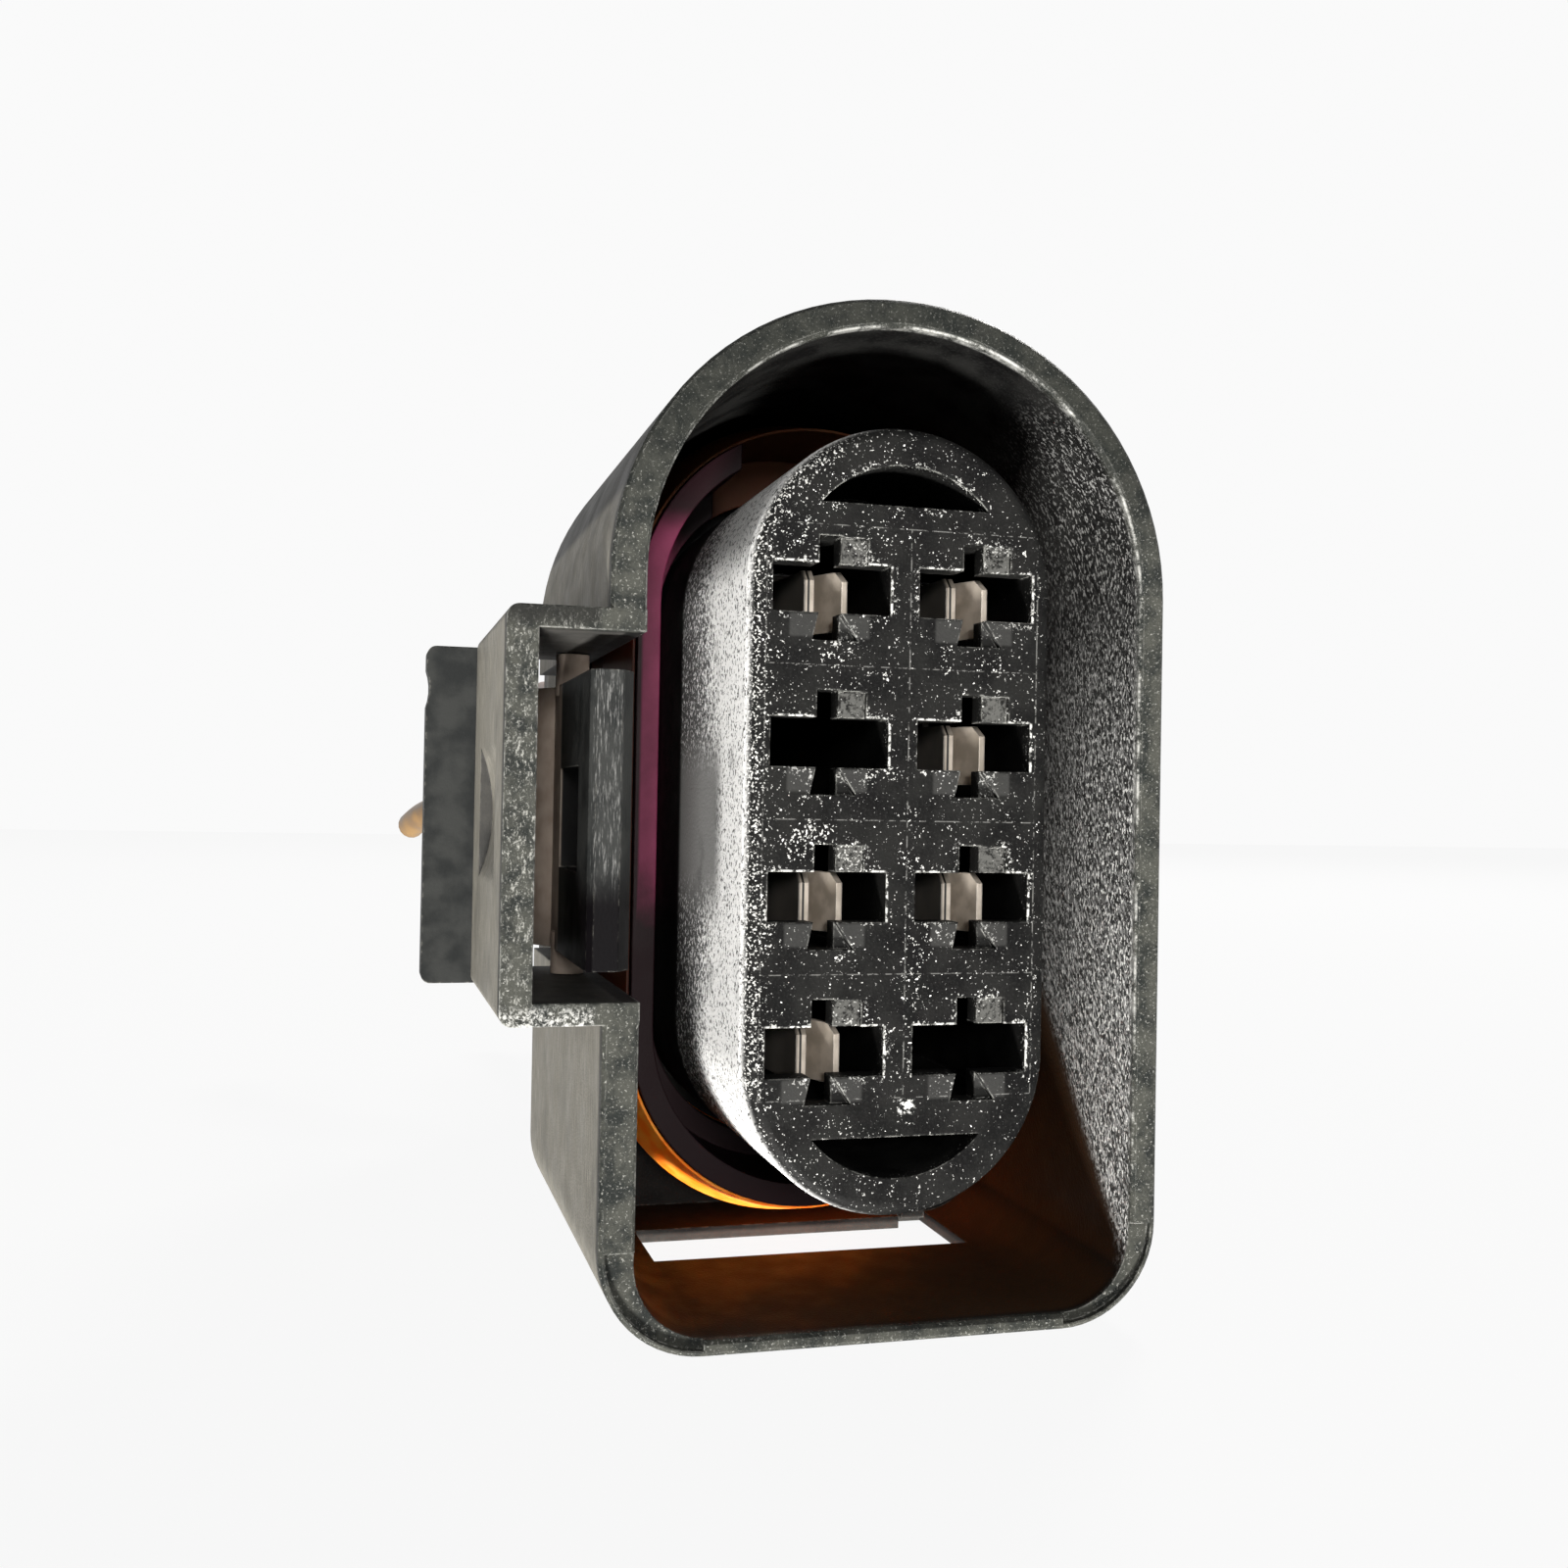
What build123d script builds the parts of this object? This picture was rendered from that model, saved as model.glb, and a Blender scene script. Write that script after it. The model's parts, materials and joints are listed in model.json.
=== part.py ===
from build123d import *
import os
from math import pi, radians, tan

# A sealed eight-way plug, seen from its mating face: a black housing with a latch lever on
# its left, a secondary lock and a seal around the tongue, six crimped leads and two plugs.
# Frame: origin at the centre of the tongue's front face, +X to the right of that face,
# +Y back along the plugging direction to the leads, +Z up. The flat base wall faces down.
# All sizes are in millimetres. A cavity is named by its column and row from the top left.

# Overlaps that leave no trace in the solids
LAP = 0.1                         # shapes that are joined run into each other by this
PAST = 1.0                        # cutting shapes run past the faces that they cut by this

# Cavity grid
ROW_PITCH = 5.0
COLUMN_PITCH = 5.0
ROWS = 4

# Cavity mouth and chamber
SLOT_WIDTH = 4.0                  # level arm of the cross
SLOT_HEIGHT = 1.62
BLADE_SLOT_WIDTH = 0.78           # upright arm of the cross, where the blade enters
BLADE_SLOT_HEIGHT = 3.4
BLADE_OFFSET = -0.07              # blade and lead stand left of the cavity's middle
SPREAD = 0.2                      # upright arm's foot widens to the left by this
FLARE_WIDTH = 0.6                 # shallow lead-in to the right of the foot
FLARE_DEPTH = 0.3
MARK_WIDTH = 0.9                  # shallow square beside the upright arm's top
MARK_HEIGHT = 0.85
MARK_DEPTH = 0.2
FACE_WEB = 1.0                    # wall that the crosses are cut in
CHAMBER_HEIGHT = 3.7
CHAMBER_END = 24.0
BORE_RADIUS = 2.2                 # round rear end of each cavity, for its seal
BORE_LEAD_IN = 0.25

# Tongue
TONGUE_SIDE_WALL = 0.75
TONGUE_END_MARGIN = 5.45          # from the outer row to the tongue's end
TONGUE_EDGE = 0.5
CRESCENT_HALF_WIDTH = 2.9
CRESCENT_RISE = 1.35
CRESCENT_FROM_END = 2.65          # tongue's end to the crescent's chord
CRESCENT_DEPTH = 6.0

# Shroud around the tongue
SIDE_GAP = 3.3
TOP_GAP = 3.25
BASE_GAP = 3.55
SHROUD_WALL = 0.9
BASE_WALL = 0.5
CORNER_RADIUS = 3.4
LEFT_SWELL = 0.25                 # left wall is thicker by this
RIM_BEVEL = 0.12
RIM_STEP = 0.25                   # lower corners of the rim stand back by this
RIM_STEP_EDGE = 0.2
MOUTH_DEPTH = 17.0
FLOOR_WALL = 1.8                  # wall behind the mouth

# Slot through the base wall, with the keying lug at its right end
BASE_SLOT_START = 8.9
BASE_SLOT_END = 13.2
BASE_SLOT_LEFT = 6.2
BASE_SLOT_RIGHT = 6.2
NOTCH_LENGTH = 1.0                # slot runs this much further back under the lug
LUG_LEFT = 5.2
LUG_WIDTH = 2.6
LUG_HEIGHT = 0.75
LUG_RISE = 0.12                   # each tooth is higher than the one on its left by this
LUG_SETBACK = 0.5                 # from the slot's rear edge
LUG_DEPTH = 1.4
LUG_TEETH = 3
LUG_TOOTH = 0.35
LUG_HOOK = 0.3

# Rear body
REAR_END = 40.0
REAR_WALL = 0.8
REAR_CORNER = 2.0
CORE_DEPTH = 16.0                 # hollows above and below the bores, from the rear
CORE_WALL = 1.0
CORE_CORNER = 0.3
COLLAR_WIDTH = 1.6
COLLAR_HEIGHT = 0.4
COLLAR_FROM_END = 2.2

# Latch guard on the left
GUARD_HALF_HEIGHT = 6.5
GUARD_WALL = 1.0
GUARD_ARM_WALL = 0.7
GUARD_REACH = 3.45                # from the shroud's outer wall to the guard's outer face
GUARD_DEPTH = 11.3
GUARD_CORNER = 0.4
LENS_HALF_HEIGHT = 2.3            # hollow in the guard's outer face
LENS_DEPTH = 0.45
LENS_START = 2.8
LENS_LENGTH = 5.8

# Latch lever
LEVER_HALF_HEIGHT = 4.75
LEVER_DROP = 0.13                 # lever hangs this far below the guard's middle
LEVER_FRONT = 0.4
LEVER_EDGE = 0.2                  # bevel on the front outer edge
LEVER_SETBACK = 0.25              # beam's inner face inside the shroud's outer wall
HOOK_LENGTH = 2.2
HOOK_HEIGHT = 0.45
HOOK_LEAD_IN = 0.7
BEAM_THICKNESS = 1.0
BEAM_END = 9.6
BEAM_SLOT_START = 2.9
BEAM_SLOT_END = 7.4
BEAM_SLOT_HALF_HEIGHT = 1.75
BEND_LEAD = 0.3                   # bend starts sooner on its outer side by this
BEND_HEEL = 0.2                   # bend's inner side ends this far past the pad
PIVOT_Y = 8.5
PIVOT_RADIUS = 0.6
PIVOT_ROOT = 0.5                  # pivot's end inside the beam
PIVOT_CLEARANCE = 0.05
PAD_GAP = 0.7                     # guard's rear edge to the pad's front
PAD_THICKNESS = 1.2
PAD_HALF_HEIGHT = 6.35
PAD_REACH = 1.8                   # pad beyond the guard's outer face
PAD_WIDTH = 3.3
PAD_CORNER = 0.35
PAD_LAP = 0.5                     # beam's bend reaches this far onto the pad's inner edge
PAD_DIP = 0.12                    # shallow dip worn in the pad's outer edge
PAD_DIP_HALF_LENGTH = 0.7
PAD_DIP_FROM_TOP = 1.6
THUMB_LENGTH = 5.8
THUMB_HALF_HEIGHT = 5.2
THUMB_DROP = 0.6
THUMB_INSET = 0.2
THUMB_SLOPE = 0.9
THUMB_GROOVE = 0.25
THUMB_GROOVES = 4

# Secondary lock, a collar around the tongue's root
LOCK_CLEARANCE = 0.1
LOCK_END_ROOM = 0.3               # more room at the tongue's two ends
LOCK_WIDTH = 1.7                  # collar's inner to outer face
SLEEVE_WALL = 0.85
SLEEVE_LENGTH = 6.0
LOCK_RING_LENGTH = 1.0
PRONG_WIDTH = 0.6
PRONG_HEIGHT = 2.0
PRONG_LENGTH = 4.0                # reach into the housing's floor
PRONG_ROOM = 2.0                  # pocket beyond the prong's end
LOCK_GAP_HALF_WIDTH = 3.15        # collar is open at its top

# Interface seal on the collar's sleeve
SEAL_FLANGE = 0.9
SEAL_CLEARANCE = 0.05
SEAL_TUBE = 0.35
SEAL_NOSE = 0.1
SEAL_LIP_HEIGHT = 0.8
SEAL_LENGTH = 6.7
SEAL_LIP_LENGTH = 2.7
SEAL_LIP_FALL = 0.35
SEAL_LIPS = 2
SEAL_LIP_PITCH = 2.9

# Terminal, a folded tin-plated receptacle
SHEET = 0.25
ARM_TIP = 1.2
ARM_HEIGHT = 2.0
ARM_DROP = 0.25                   # arms stand this far below the cavity's middle
ARM_EDGE = 0.35
ARM_THICKNESS = 0.2               # right arm, flared at its tip
ARM_FLARE = 0.75
ARM_PINCH = 0.05                  # where it bears on the blade, from the blade's middle
REST_THICKNESS = 0.35             # left arm, which the blade rests on
REST_FACE = 0.2
CONTACT_Y = 3.0
ARM_ROOT_START = 7.5
ARM_ROOT_END = 8.0
BOX_START = 7.0
BOX_END = 12.6
BOX_WIDTH = 2.2
BOX_HEIGHT = 2.7
NECK_WIDTH = 1.2
NECK_LAP = 0.5                    # neck runs into the seal crimp by this
WIRE_CRIMP_START = 14.6
WIRE_CRIMP_END = 18.0
SEAL_CRIMP_START = 20.4
SEAL_CRIMP_END = 23.6
CRIMP_FIT = 0.03
NECK_ROOM = 0.2                   # in front of the wire seal's neck

# Steel spring cage over each terminal's box
CAGE_SHEET = 0.15
CAGE_CLEARANCE = 0.03
CAGE_START = 7.6
CAGE_END = 12.0
LANCE_START = 8.2
LANCE_LENGTH = 2.4
LANCE_WIDTH = 1.2
LANCE_LIFT = 0.15

# Leads, wire seals and plugs
LEAD_RADIUS = 0.9
STRAND_RADIUS = 0.55
STRIP_START = 14.9                # front end of the bared strands
INSULATION_START = 18.6
LEAD_FIT = 0.05
SEAL_NECK_WALL = 0.25
WIRE_SEAL_NECK_START = 20.0
WIRE_SEAL_START = 24.4
WIRE_SEAL_LENGTH = 12.2
WIRE_SEAL_RADIUS = 1.75
RIB_RADIUS = 2.15
RIB_HALF_LENGTH = 1.0
RIBS = 3
PLUG_HEAD_LENGTH = 1.0
PLUG_HEAD_EDGE = 0.35
BEND_SHARE = 0.45                 # share of the shorter run that a lead's bend takes

# Each lead's route behind its wire seal to its cut end: sideways, back, up. A cavity without
# a lead is plugged.
LEAD_ROUTES = {
    (0, 0): [(0.2, 8.2, -0.1), (-0.7, 16.6, 0.9), (-0.2, 25.2, 0.5), (-0.9, 33.0, 1.0)],
    (1, 0): [(0.1, 8.6, 0.1), (1.3, 17.4, -0.6), (1.4, 26.4, -1.9), (2.9, 34.6, -2.2)],
    (1, 1): [(-0.1, 7.6, 0.1), (0.9, 15.6, -0.4), (3.4, 23.4, 0.3), (4.6, 31.0, 1.9)],
    (0, 2): [(-0.4, 8.3, 0.2), (-3.8, 15.8, 1.9), (-9.3, 20.6, 2.9), (-10.6, 27.3, 1.1)],
    (1, 2): [(0.1, 8.0, -0.1), (-0.9, 16.3, -0.3), (-0.4, 24.9, -1.4), (0.6, 32.7, -1.1)],
    (0, 3): [(0.1, 7.4, 0.1), (1.1, 15.0, -1.0), (0.9, 23.0, -1.8), (-0.3, 30.4, -1.7)],
}

# What follows from the sizes above
grid_half_height = (ROWS - 1) / 2 * ROW_PITCH
tongue_half_width = COLUMN_PITCH / 2 + SLOT_WIDTH / 2 + TONGUE_SIDE_WALL
tongue_half_height = grid_half_height + TONGUE_END_MARGIN
tongue_centre = tongue_half_height - tongue_half_width
mouth_half_width = tongue_half_width + SIDE_GAP
mouth_top = tongue_half_height + TOP_GAP
mouth_base = -(tongue_half_height + BASE_GAP)
shroud_half_width = mouth_half_width + SHROUD_WALL
shroud_depth = MOUTH_DEPTH + FLOOR_WALL
base = mouth_base - BASE_WALL
arch_centre = mouth_top - mouth_half_width
lock_inner = tongue_half_width + LOCK_CLEARANCE
lock_outer = lock_inner + LOCK_WIDTH
lock_centre = tongue_centre + LOCK_END_ROOM
lock_rear = MOUTH_DEPTH - SEAL_FLANGE - LOCK_CLEARANCE
sleeve_start = lock_rear - SLEEVE_LENGTH
ring_start = lock_rear - LOCK_RING_LENGTH
seal_start = MOUTH_DEPTH - SEAL_LENGTH
prong_outer = lock_inner + PRONG_WIDTH
rear_half_width = prong_outer + LOCK_CLEARANCE + REAR_WALL
guard_face = -(shroud_half_width + GUARD_REACH)
window_half_height = GUARD_HALF_HEIGHT - GUARD_ARM_WALL
beam_inner = -(shroud_half_width - LEVER_SETBACK)
beam_outer = beam_inner - BEAM_THICKNESS
pad_front = GUARD_DEPTH + PAD_GAP
pad_outer = guard_face - PAD_REACH
pad_inner = pad_outer + PAD_WIDTH
pivot_x = beam_inner - BEAM_THICKNESS / 2
seal_inner = lock_outer + SEAL_CLEARANCE
strand_hole = STRAND_RADIUS + CRIMP_FIT
seal_bore = LEAD_RADIUS + LEAD_FIT
neck_radius = seal_bore + SEAL_NECK_WALL
wire_seal_end = WIRE_SEAL_START + WIRE_SEAL_LENGTH


def slab(profile, start, end):
    """Profile drawn in X and Z, carried along Y from start to end."""
    return extrude(Plane.XZ.offset(-start) * profile, end - start, dir=(0, 1, 0))


def upright(profile, half_height):
    """Outline drawn in X and Y, carried up and down by half_height."""
    return extrude(Plane.XY.offset(-half_height) * profile, 2 * half_height, dir=(0, 0, 1))


def block(x0, x1, y0, y1, z0, z1):
    """Box between two corners."""
    return Pos((x0 + x1) / 2, (y0 + y1) / 2, (z0 + z1) / 2) * Box(x1 - x0, y1 - y0, z1 - z0)


def rod(radius, start, end):
    """Round bar along Y on the axis."""
    return slab(Circle(radius), start, end)


def taper(low, high, start, end):
    """Solid between two like outlines drawn in X and Z at start and end."""
    return loft([Plane.XZ.offset(-start) * low, Plane.XZ.offset(-end) * high], ruled=True)


def stadium(half_width, centre):
    """Upright slot outline, rounded about two points that far above and below the middle."""
    return SlotOverall(2 * (half_width + centre), 2 * half_width, rotation=90)


def collar_outline(half_width):
    """Slot outline of the lock and its seal, which have more room at the tongue's ends."""
    return stadium(half_width, lock_centre)


def arc_disc(half_chord, rise):
    """Disc whose arc rises by that much over its chord, and its radius."""
    radius = (half_chord**2 + rise**2) / (2 * rise)
    return Circle(radius), radius


def d_outline(half_width, bottom, corner):
    """Round top, straight sides and a flat bottom with rounded corners."""
    outline = Pos(0, arch_centre) * Circle(half_width)
    outline += Pos(0, (arch_centre + bottom) / 2) * Rectangle(2 * half_width, arch_centre - bottom)
    return fillet(outline.vertices().sort_by(Axis.Y)[:2], corner)


def cavities():
    """Column, row and the blade's place in every cavity."""
    for column in range(2):
        for row in range(ROWS):
            x = (column - 0.5) * COLUMN_PITCH + BLADE_OFFSET
            yield column, row, x, grid_half_height - row * ROW_PITCH


def front_edges(solid):
    """Edges in the solid's frontmost plane."""
    return solid.edges().group_by(Axis.Y)[0]


def cavity_mouth():
    """Cross-shaped opening, its lead-in beside the foot and the mark beside its top."""
    half = BLADE_SLOT_WIDTH / 2
    low = -BLADE_SLOT_HEIGHT / 2
    step = -SLOT_HEIGHT / 2
    cross = Pos(-BLADE_OFFSET, 0) * Rectangle(SLOT_WIDTH, SLOT_HEIGHT)
    cross += Rectangle(BLADE_SLOT_WIDTH, BLADE_SLOT_HEIGHT)
    cross += Polygon((-half - SPREAD, low), (half, low), (half, step), (-half, step))
    flare = Polygon((half - LAP, low), (half + FLARE_WIDTH, low), (half, step), (half - LAP, step))
    mark = Pos(half + MARK_WIDTH / 2, (SLOT_HEIGHT + MARK_HEIGHT) / 2) * Rectangle(
        MARK_WIDTH, MARK_HEIGHT
    )
    mouth = slab(cross, -PAST, FACE_WEB + LAP)
    return mouth + slab(flare, -PAST, FLARE_DEPTH) + slab(mark, -PAST, MARK_DEPTH)


def cavity():
    """Everything that is cut out of the housing for one terminal and its seal."""
    chamber = slab(Pos(-BLADE_OFFSET, 0) * Rectangle(SLOT_WIDTH, CHAMBER_HEIGHT), FACE_WEB, CHAMBER_END)
    bore = rod(BORE_RADIUS, CHAMBER_END - LAP, REAR_END + PAST)
    wide = Circle(BORE_RADIUS + BORE_LEAD_IN)
    lead_in = taper(Circle(BORE_RADIUS), wide, REAR_END - BORE_LEAD_IN, REAR_END)
    return cavity_mouth() + chamber + bore + lead_in


def crescent():
    """Blind recess in the tongue's upper end."""
    top = tongue_half_height - CRESCENT_FROM_END + CRESCENT_RISE
    disc, radius = arc_disc(CRESCENT_HALF_WIDTH, CRESCENT_RISE)
    cap = Pos(0, top) * Rectangle(2 * CRESCENT_HALF_WIDTH, 2 * CRESCENT_RISE)
    return slab(Pos(0, top - radius) * disc & cap, -PAST, CRESCENT_DEPTH)


def tongue():
    """Nose with the cavity mouths, rounded along its front edge, with a recess at each end."""
    nose = slab(stadium(tongue_half_width, tongue_centre), 0, MOUTH_DEPTH + PAST)
    nose = fillet(front_edges(nose), TONGUE_EDGE)
    hollow = crescent()
    return nose - hollow - hollow.rotate(Axis.Y, 180)


def rim_steps():
    """What is cut from the rim so that its two lower corners stand back."""
    outer = d_outline(
        shroud_half_width - RIM_STEP_EDGE, base + RIM_STEP_EDGE, CORNER_RADIUS - RIM_STEP_EDGE
    )
    half = shroud_half_width - CORNER_RADIUS
    corner = block(half, shroud_half_width, -PAST, RIM_STEP, base, base + CORNER_RADIUS)
    right = slab(outer, -PAST, RIM_STEP) & corner
    return right + Pos(-LEFT_SWELL, 0, 0) * mirror(right, Plane.YZ)


def shroud():
    """D-shaped wall with its bevelled rim, thicker on the left, and its floor."""
    outline = d_outline(shroud_half_width, base, CORNER_RADIUS)
    outline += Pos(-LEFT_SWELL, 0) * d_outline(shroud_half_width, base, CORNER_RADIUS)
    mouth = d_outline(mouth_half_width, mouth_base, CORNER_RADIUS - SHROUD_WALL)
    wall = slab(outline, 0, shroud_depth) - slab(mouth, -PAST, MOUTH_DEPTH)
    return chamfer(front_edges(wall), RIM_BEVEL) - rim_steps()


def base_slot():
    """Opening through the base wall, with the notch in its rear edge at the lug."""
    low = base - PAST
    high = mouth_base + PAST
    slot = block(-BASE_SLOT_LEFT, BASE_SLOT_RIGHT, BASE_SLOT_START, BASE_SLOT_END, low, high)
    left = BASE_SLOT_RIGHT - LUG_WIDTH / 2
    return slot + block(left, BASE_SLOT_RIGHT, BASE_SLOT_END - LAP, BASE_SLOT_END + NOTCH_LENGTH, low, high)


def keying_lug():
    """Lug on the base wall behind the slot, with teeth that rise to its hooked right end."""
    low = mouth_base - BASE_WALL / 2
    high = mouth_base + LUG_HEIGHT
    right = LUG_LEFT + LUG_WIDTH
    pitch = LUG_WIDTH / LUG_TEETH
    outline = [(LUG_LEFT, low), (LUG_LEFT, high - LUG_TOOTH)]
    for n in range(LUG_TEETH):
        x = LUG_LEFT + (n + 1) * pitch
        crest = high + n * LUG_RISE
        outline += [(x - pitch / 2, crest), (x, crest - LUG_TOOTH)]
    outline += [(right + LUG_HOOK, high + LUG_TEETH * LUG_RISE), (right, mouth_base), (right, low)]
    start = BASE_SLOT_END + LUG_SETBACK
    return slab(Polygon(*outline, align=None), start, start + LUG_DEPTH)


def core_hollows():
    """Hollows that keep the rear body's walls even, above and below the bores."""
    inside = d_outline(rear_half_width - REAR_WALL, base + REAR_WALL, REAR_CORNER - REAR_WALL)
    block_half = grid_half_height + BORE_RADIUS + CORE_WALL
    inside -= Rectangle(2 * rear_half_width, 2 * block_half)
    inside -= Rectangle(CORE_WALL, 4 * tongue_half_height)
    inside = fillet(inside.vertices().filter_by(lambda v: abs(v.X) < CORE_WALL), CORE_CORNER)
    return slab(inside, REAR_END - CORE_DEPTH, REAR_END + PAST)


def rear_body():
    """Block around the seal bores, with a collar near its end."""
    body = slab(d_outline(rear_half_width, base, REAR_CORNER), MOUTH_DEPTH + LAP, REAR_END)
    collar = d_outline(rear_half_width + COLLAR_HEIGHT, base, REAR_CORNER + COLLAR_HEIGHT)
    start = REAR_END - COLLAR_FROM_END - COLLAR_WIDTH
    return body + slab(collar, start, start + COLLAR_WIDTH) - core_hollows()


def lens_hollow():
    """Lens-shaped hollow in the guard's outer face."""
    disc, radius = arc_disc(LENS_HALF_HEIGHT, LENS_DEPTH)
    hollow = Pos(guard_face + LENS_DEPTH - radius, 0) * disc
    return slab(hollow, LENS_START, LENS_START + LENS_LENGTH)


def latch_guard():
    """Bridge over the latch lever, two arms and the outer wall that joins them."""
    width = -mouth_half_width - guard_face
    outline = Pos(guard_face + width / 2, 0) * Rectangle(width, 2 * GUARD_HALF_HEIGHT)
    outline = fillet(outline.vertices().group_by(Axis.X)[0], GUARD_CORNER)
    inside = guard_face + GUARD_WALL
    outline -= Pos(inside + width / 2, 0) * Rectangle(width, 2 * window_half_height)
    return slab(outline, 0, GUARD_DEPTH) - lens_hollow()


def latch_window():
    """Gap in the shroud's left wall beside the lever, along the whole shroud."""
    half = window_half_height
    left = -shroud_half_width - LEFT_SWELL - PAST
    return block(left, -mouth_half_width + LAP, -PAST, shroud_depth + PAST, -half, half)


def prong_boxes(clearance, start, end):
    """The lock's four prongs, or with a clearance the pockets that they slide in."""
    half = PRONG_WIDTH / 2 + clearance
    tall = PRONG_HEIGHT / 2 + clearance
    for x in (-prong_outer + PRONG_WIDTH / 2, prong_outer - PRONG_WIDTH / 2):
        for z in (-ROW_PITCH, ROW_PITCH):
            yield block(x - half, x + half, start, end, z - tall, z + tall)


def make_housing():
    """The black moulding: shroud, tongue, rear body and latch guard in one piece."""
    body = shroud() - latch_window() + tongue() + rear_body() + latch_guard()
    body = body - base_slot() + keying_lug()
    pocket_end = MOUTH_DEPTH + PRONG_LENGTH + PRONG_ROOM
    for pocket in prong_boxes(LOCK_CLEARANCE, MOUTH_DEPTH - PAST, pocket_end):
        body -= pocket
    tool = cavity()
    for _, _, x, z in cavities():
        body -= Pos(x, 0, z) * tool
    return body


def lever_side():
    """Lever in X and Y: hook, straight beam and the bend out to the pad."""
    hook_face = beam_inner + HOOK_HEIGHT
    hook_end = LEVER_FRONT + HOOK_LENGTH
    pad_rear = pad_front + PAD_THICKNESS
    return Polygon(
        (beam_outer, LEVER_FRONT + LEVER_EDGE),
        (beam_outer + LEVER_EDGE, LEVER_FRONT),
        (beam_inner, LEVER_FRONT),
        (hook_face, LEVER_FRONT + HOOK_LEAD_IN),
        (hook_face, hook_end),
        (beam_inner, hook_end),
        (beam_inner, BEAM_END),
        (pad_inner + BEND_HEEL, pad_rear),
        (pad_inner - PAD_LAP, pad_rear),
        (pad_inner - PAD_LAP, pad_front),
        (beam_outer, BEAM_END - BEND_LEAD),
        align=None,
    )


def thumb_side():
    """Grooved thumb rest behind the pad, in X and Y."""
    start = pad_front + PAD_THICKNESS - LAP
    end = start + THUMB_LENGTH
    outer = pad_outer + THUMB_DROP
    inner = pad_inner - THUMB_INSET
    rest = Polygon((outer, start), (outer + THUMB_SLOPE, end), (inner, end), (inner, start), align=None)
    rest = fillet(rest.vertices().group_by(Axis.Y)[-1].sort_by(Axis.X)[0], PAD_CORNER)
    pitch = THUMB_LENGTH / (THUMB_GROOVES + 1)
    for n in range(1, THUMB_GROOVES + 1):
        x = outer + THUMB_SLOPE * n * pitch / THUMB_LENGTH
        rest -= Pos(x, start + n * pitch) * Circle(THUMB_GROOVE)
    return rest


def pad_plate():
    """Release pad's front plate, with the shallow dip worn in its outer edge."""
    plate = Pos((pad_outer + pad_inner) / 2, 0) * RectangleRounded(
        PAD_WIDTH, 2 * PAD_HALF_HEIGHT, PAD_CORNER
    )
    disc, radius = arc_disc(PAD_DIP_HALF_LENGTH, PAD_DIP)
    plate -= Pos(pad_outer + PAD_DIP - radius, PAD_HALF_HEIGHT - PAD_DIP_FROM_TOP) * disc
    return slab(plate, pad_front, pad_front + PAD_THICKNESS)


def make_lever():
    """Latch lever: hook in front, torsion webs at its middle, release pad behind."""
    lever = upright(lever_side(), LEVER_HALF_HEIGHT) + pad_plate()
    lever += upright(thumb_side(), THUMB_HALF_HEIGHT)
    half = BEAM_SLOT_HALF_HEIGHT
    lever -= block(beam_outer - PAST, beam_inner + PAST, BEAM_SLOT_START, BEAM_SLOT_END, -half, half)
    webs = upright(Pos(pivot_x, PIVOT_Y) * Circle(PIVOT_RADIUS), window_half_height - PIVOT_CLEARANCE)
    webs -= Pos(pivot_x, PIVOT_Y, 0) * Box(
        4 * PIVOT_RADIUS, 4 * PIVOT_RADIUS, 2 * (LEVER_HALF_HEIGHT - PIVOT_ROOT)
    )
    return Pos(0, 0, -LEVER_DROP) * lever + webs


def make_lock():
    """Secondary lock: sleeve, inner ring, an opening at the top and prongs into the floor."""
    outline = collar_outline(lock_outer)
    collar = slab(outline - collar_outline(lock_outer - SLEEVE_WALL), sleeve_start, lock_rear)
    collar += slab(outline - collar_outline(lock_inner), ring_start, lock_rear)
    half = LOCK_GAP_HALF_WIDTH
    top = lock_centre + lock_outer + PAST
    collar -= block(-half, half, sleeve_start - PAST, MOUTH_DEPTH, lock_centre, top)
    for prong in prong_boxes(0, lock_rear - LAP, MOUTH_DEPTH + PRONG_LENGTH):
        collar += prong
    return collar


def seal_lip(start):
    """One lip of the seal: a slope out to its crest and a short fall behind it."""
    crest = start + SEAL_LIP_LENGTH
    peak = collar_outline(seal_inner + SEAL_LIP_HEIGHT)
    front = taper(collar_outline(seal_inner + SEAL_NOSE), peak, start, crest)
    return front + taper(peak, collar_outline(seal_inner + SEAL_TUBE), crest, crest + SEAL_LIP_FALL)


def make_interface_seal():
    """Silicone ring on the lock's sleeve, its flange on the mouth's floor."""
    ring = slab(collar_outline(seal_inner + SEAL_TUBE), seal_start + SEAL_LIP_LENGTH, MOUTH_DEPTH)
    for n in range(SEAL_LIPS):
        ring += seal_lip(seal_start + n * SEAL_LIP_PITCH)
    flange_front = MOUTH_DEPTH - SEAL_FLANGE
    ring -= slab(collar_outline(seal_inner), seal_start - PAST, flange_front)
    ring -= slab(collar_outline(lock_inner), flange_front - LAP, MOUTH_DEPTH + PAST)
    for hole in prong_boxes(LOCK_CLEARANCE, flange_front - PAST, MOUTH_DEPTH + PAST):
        ring -= hole
    return ring


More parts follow.
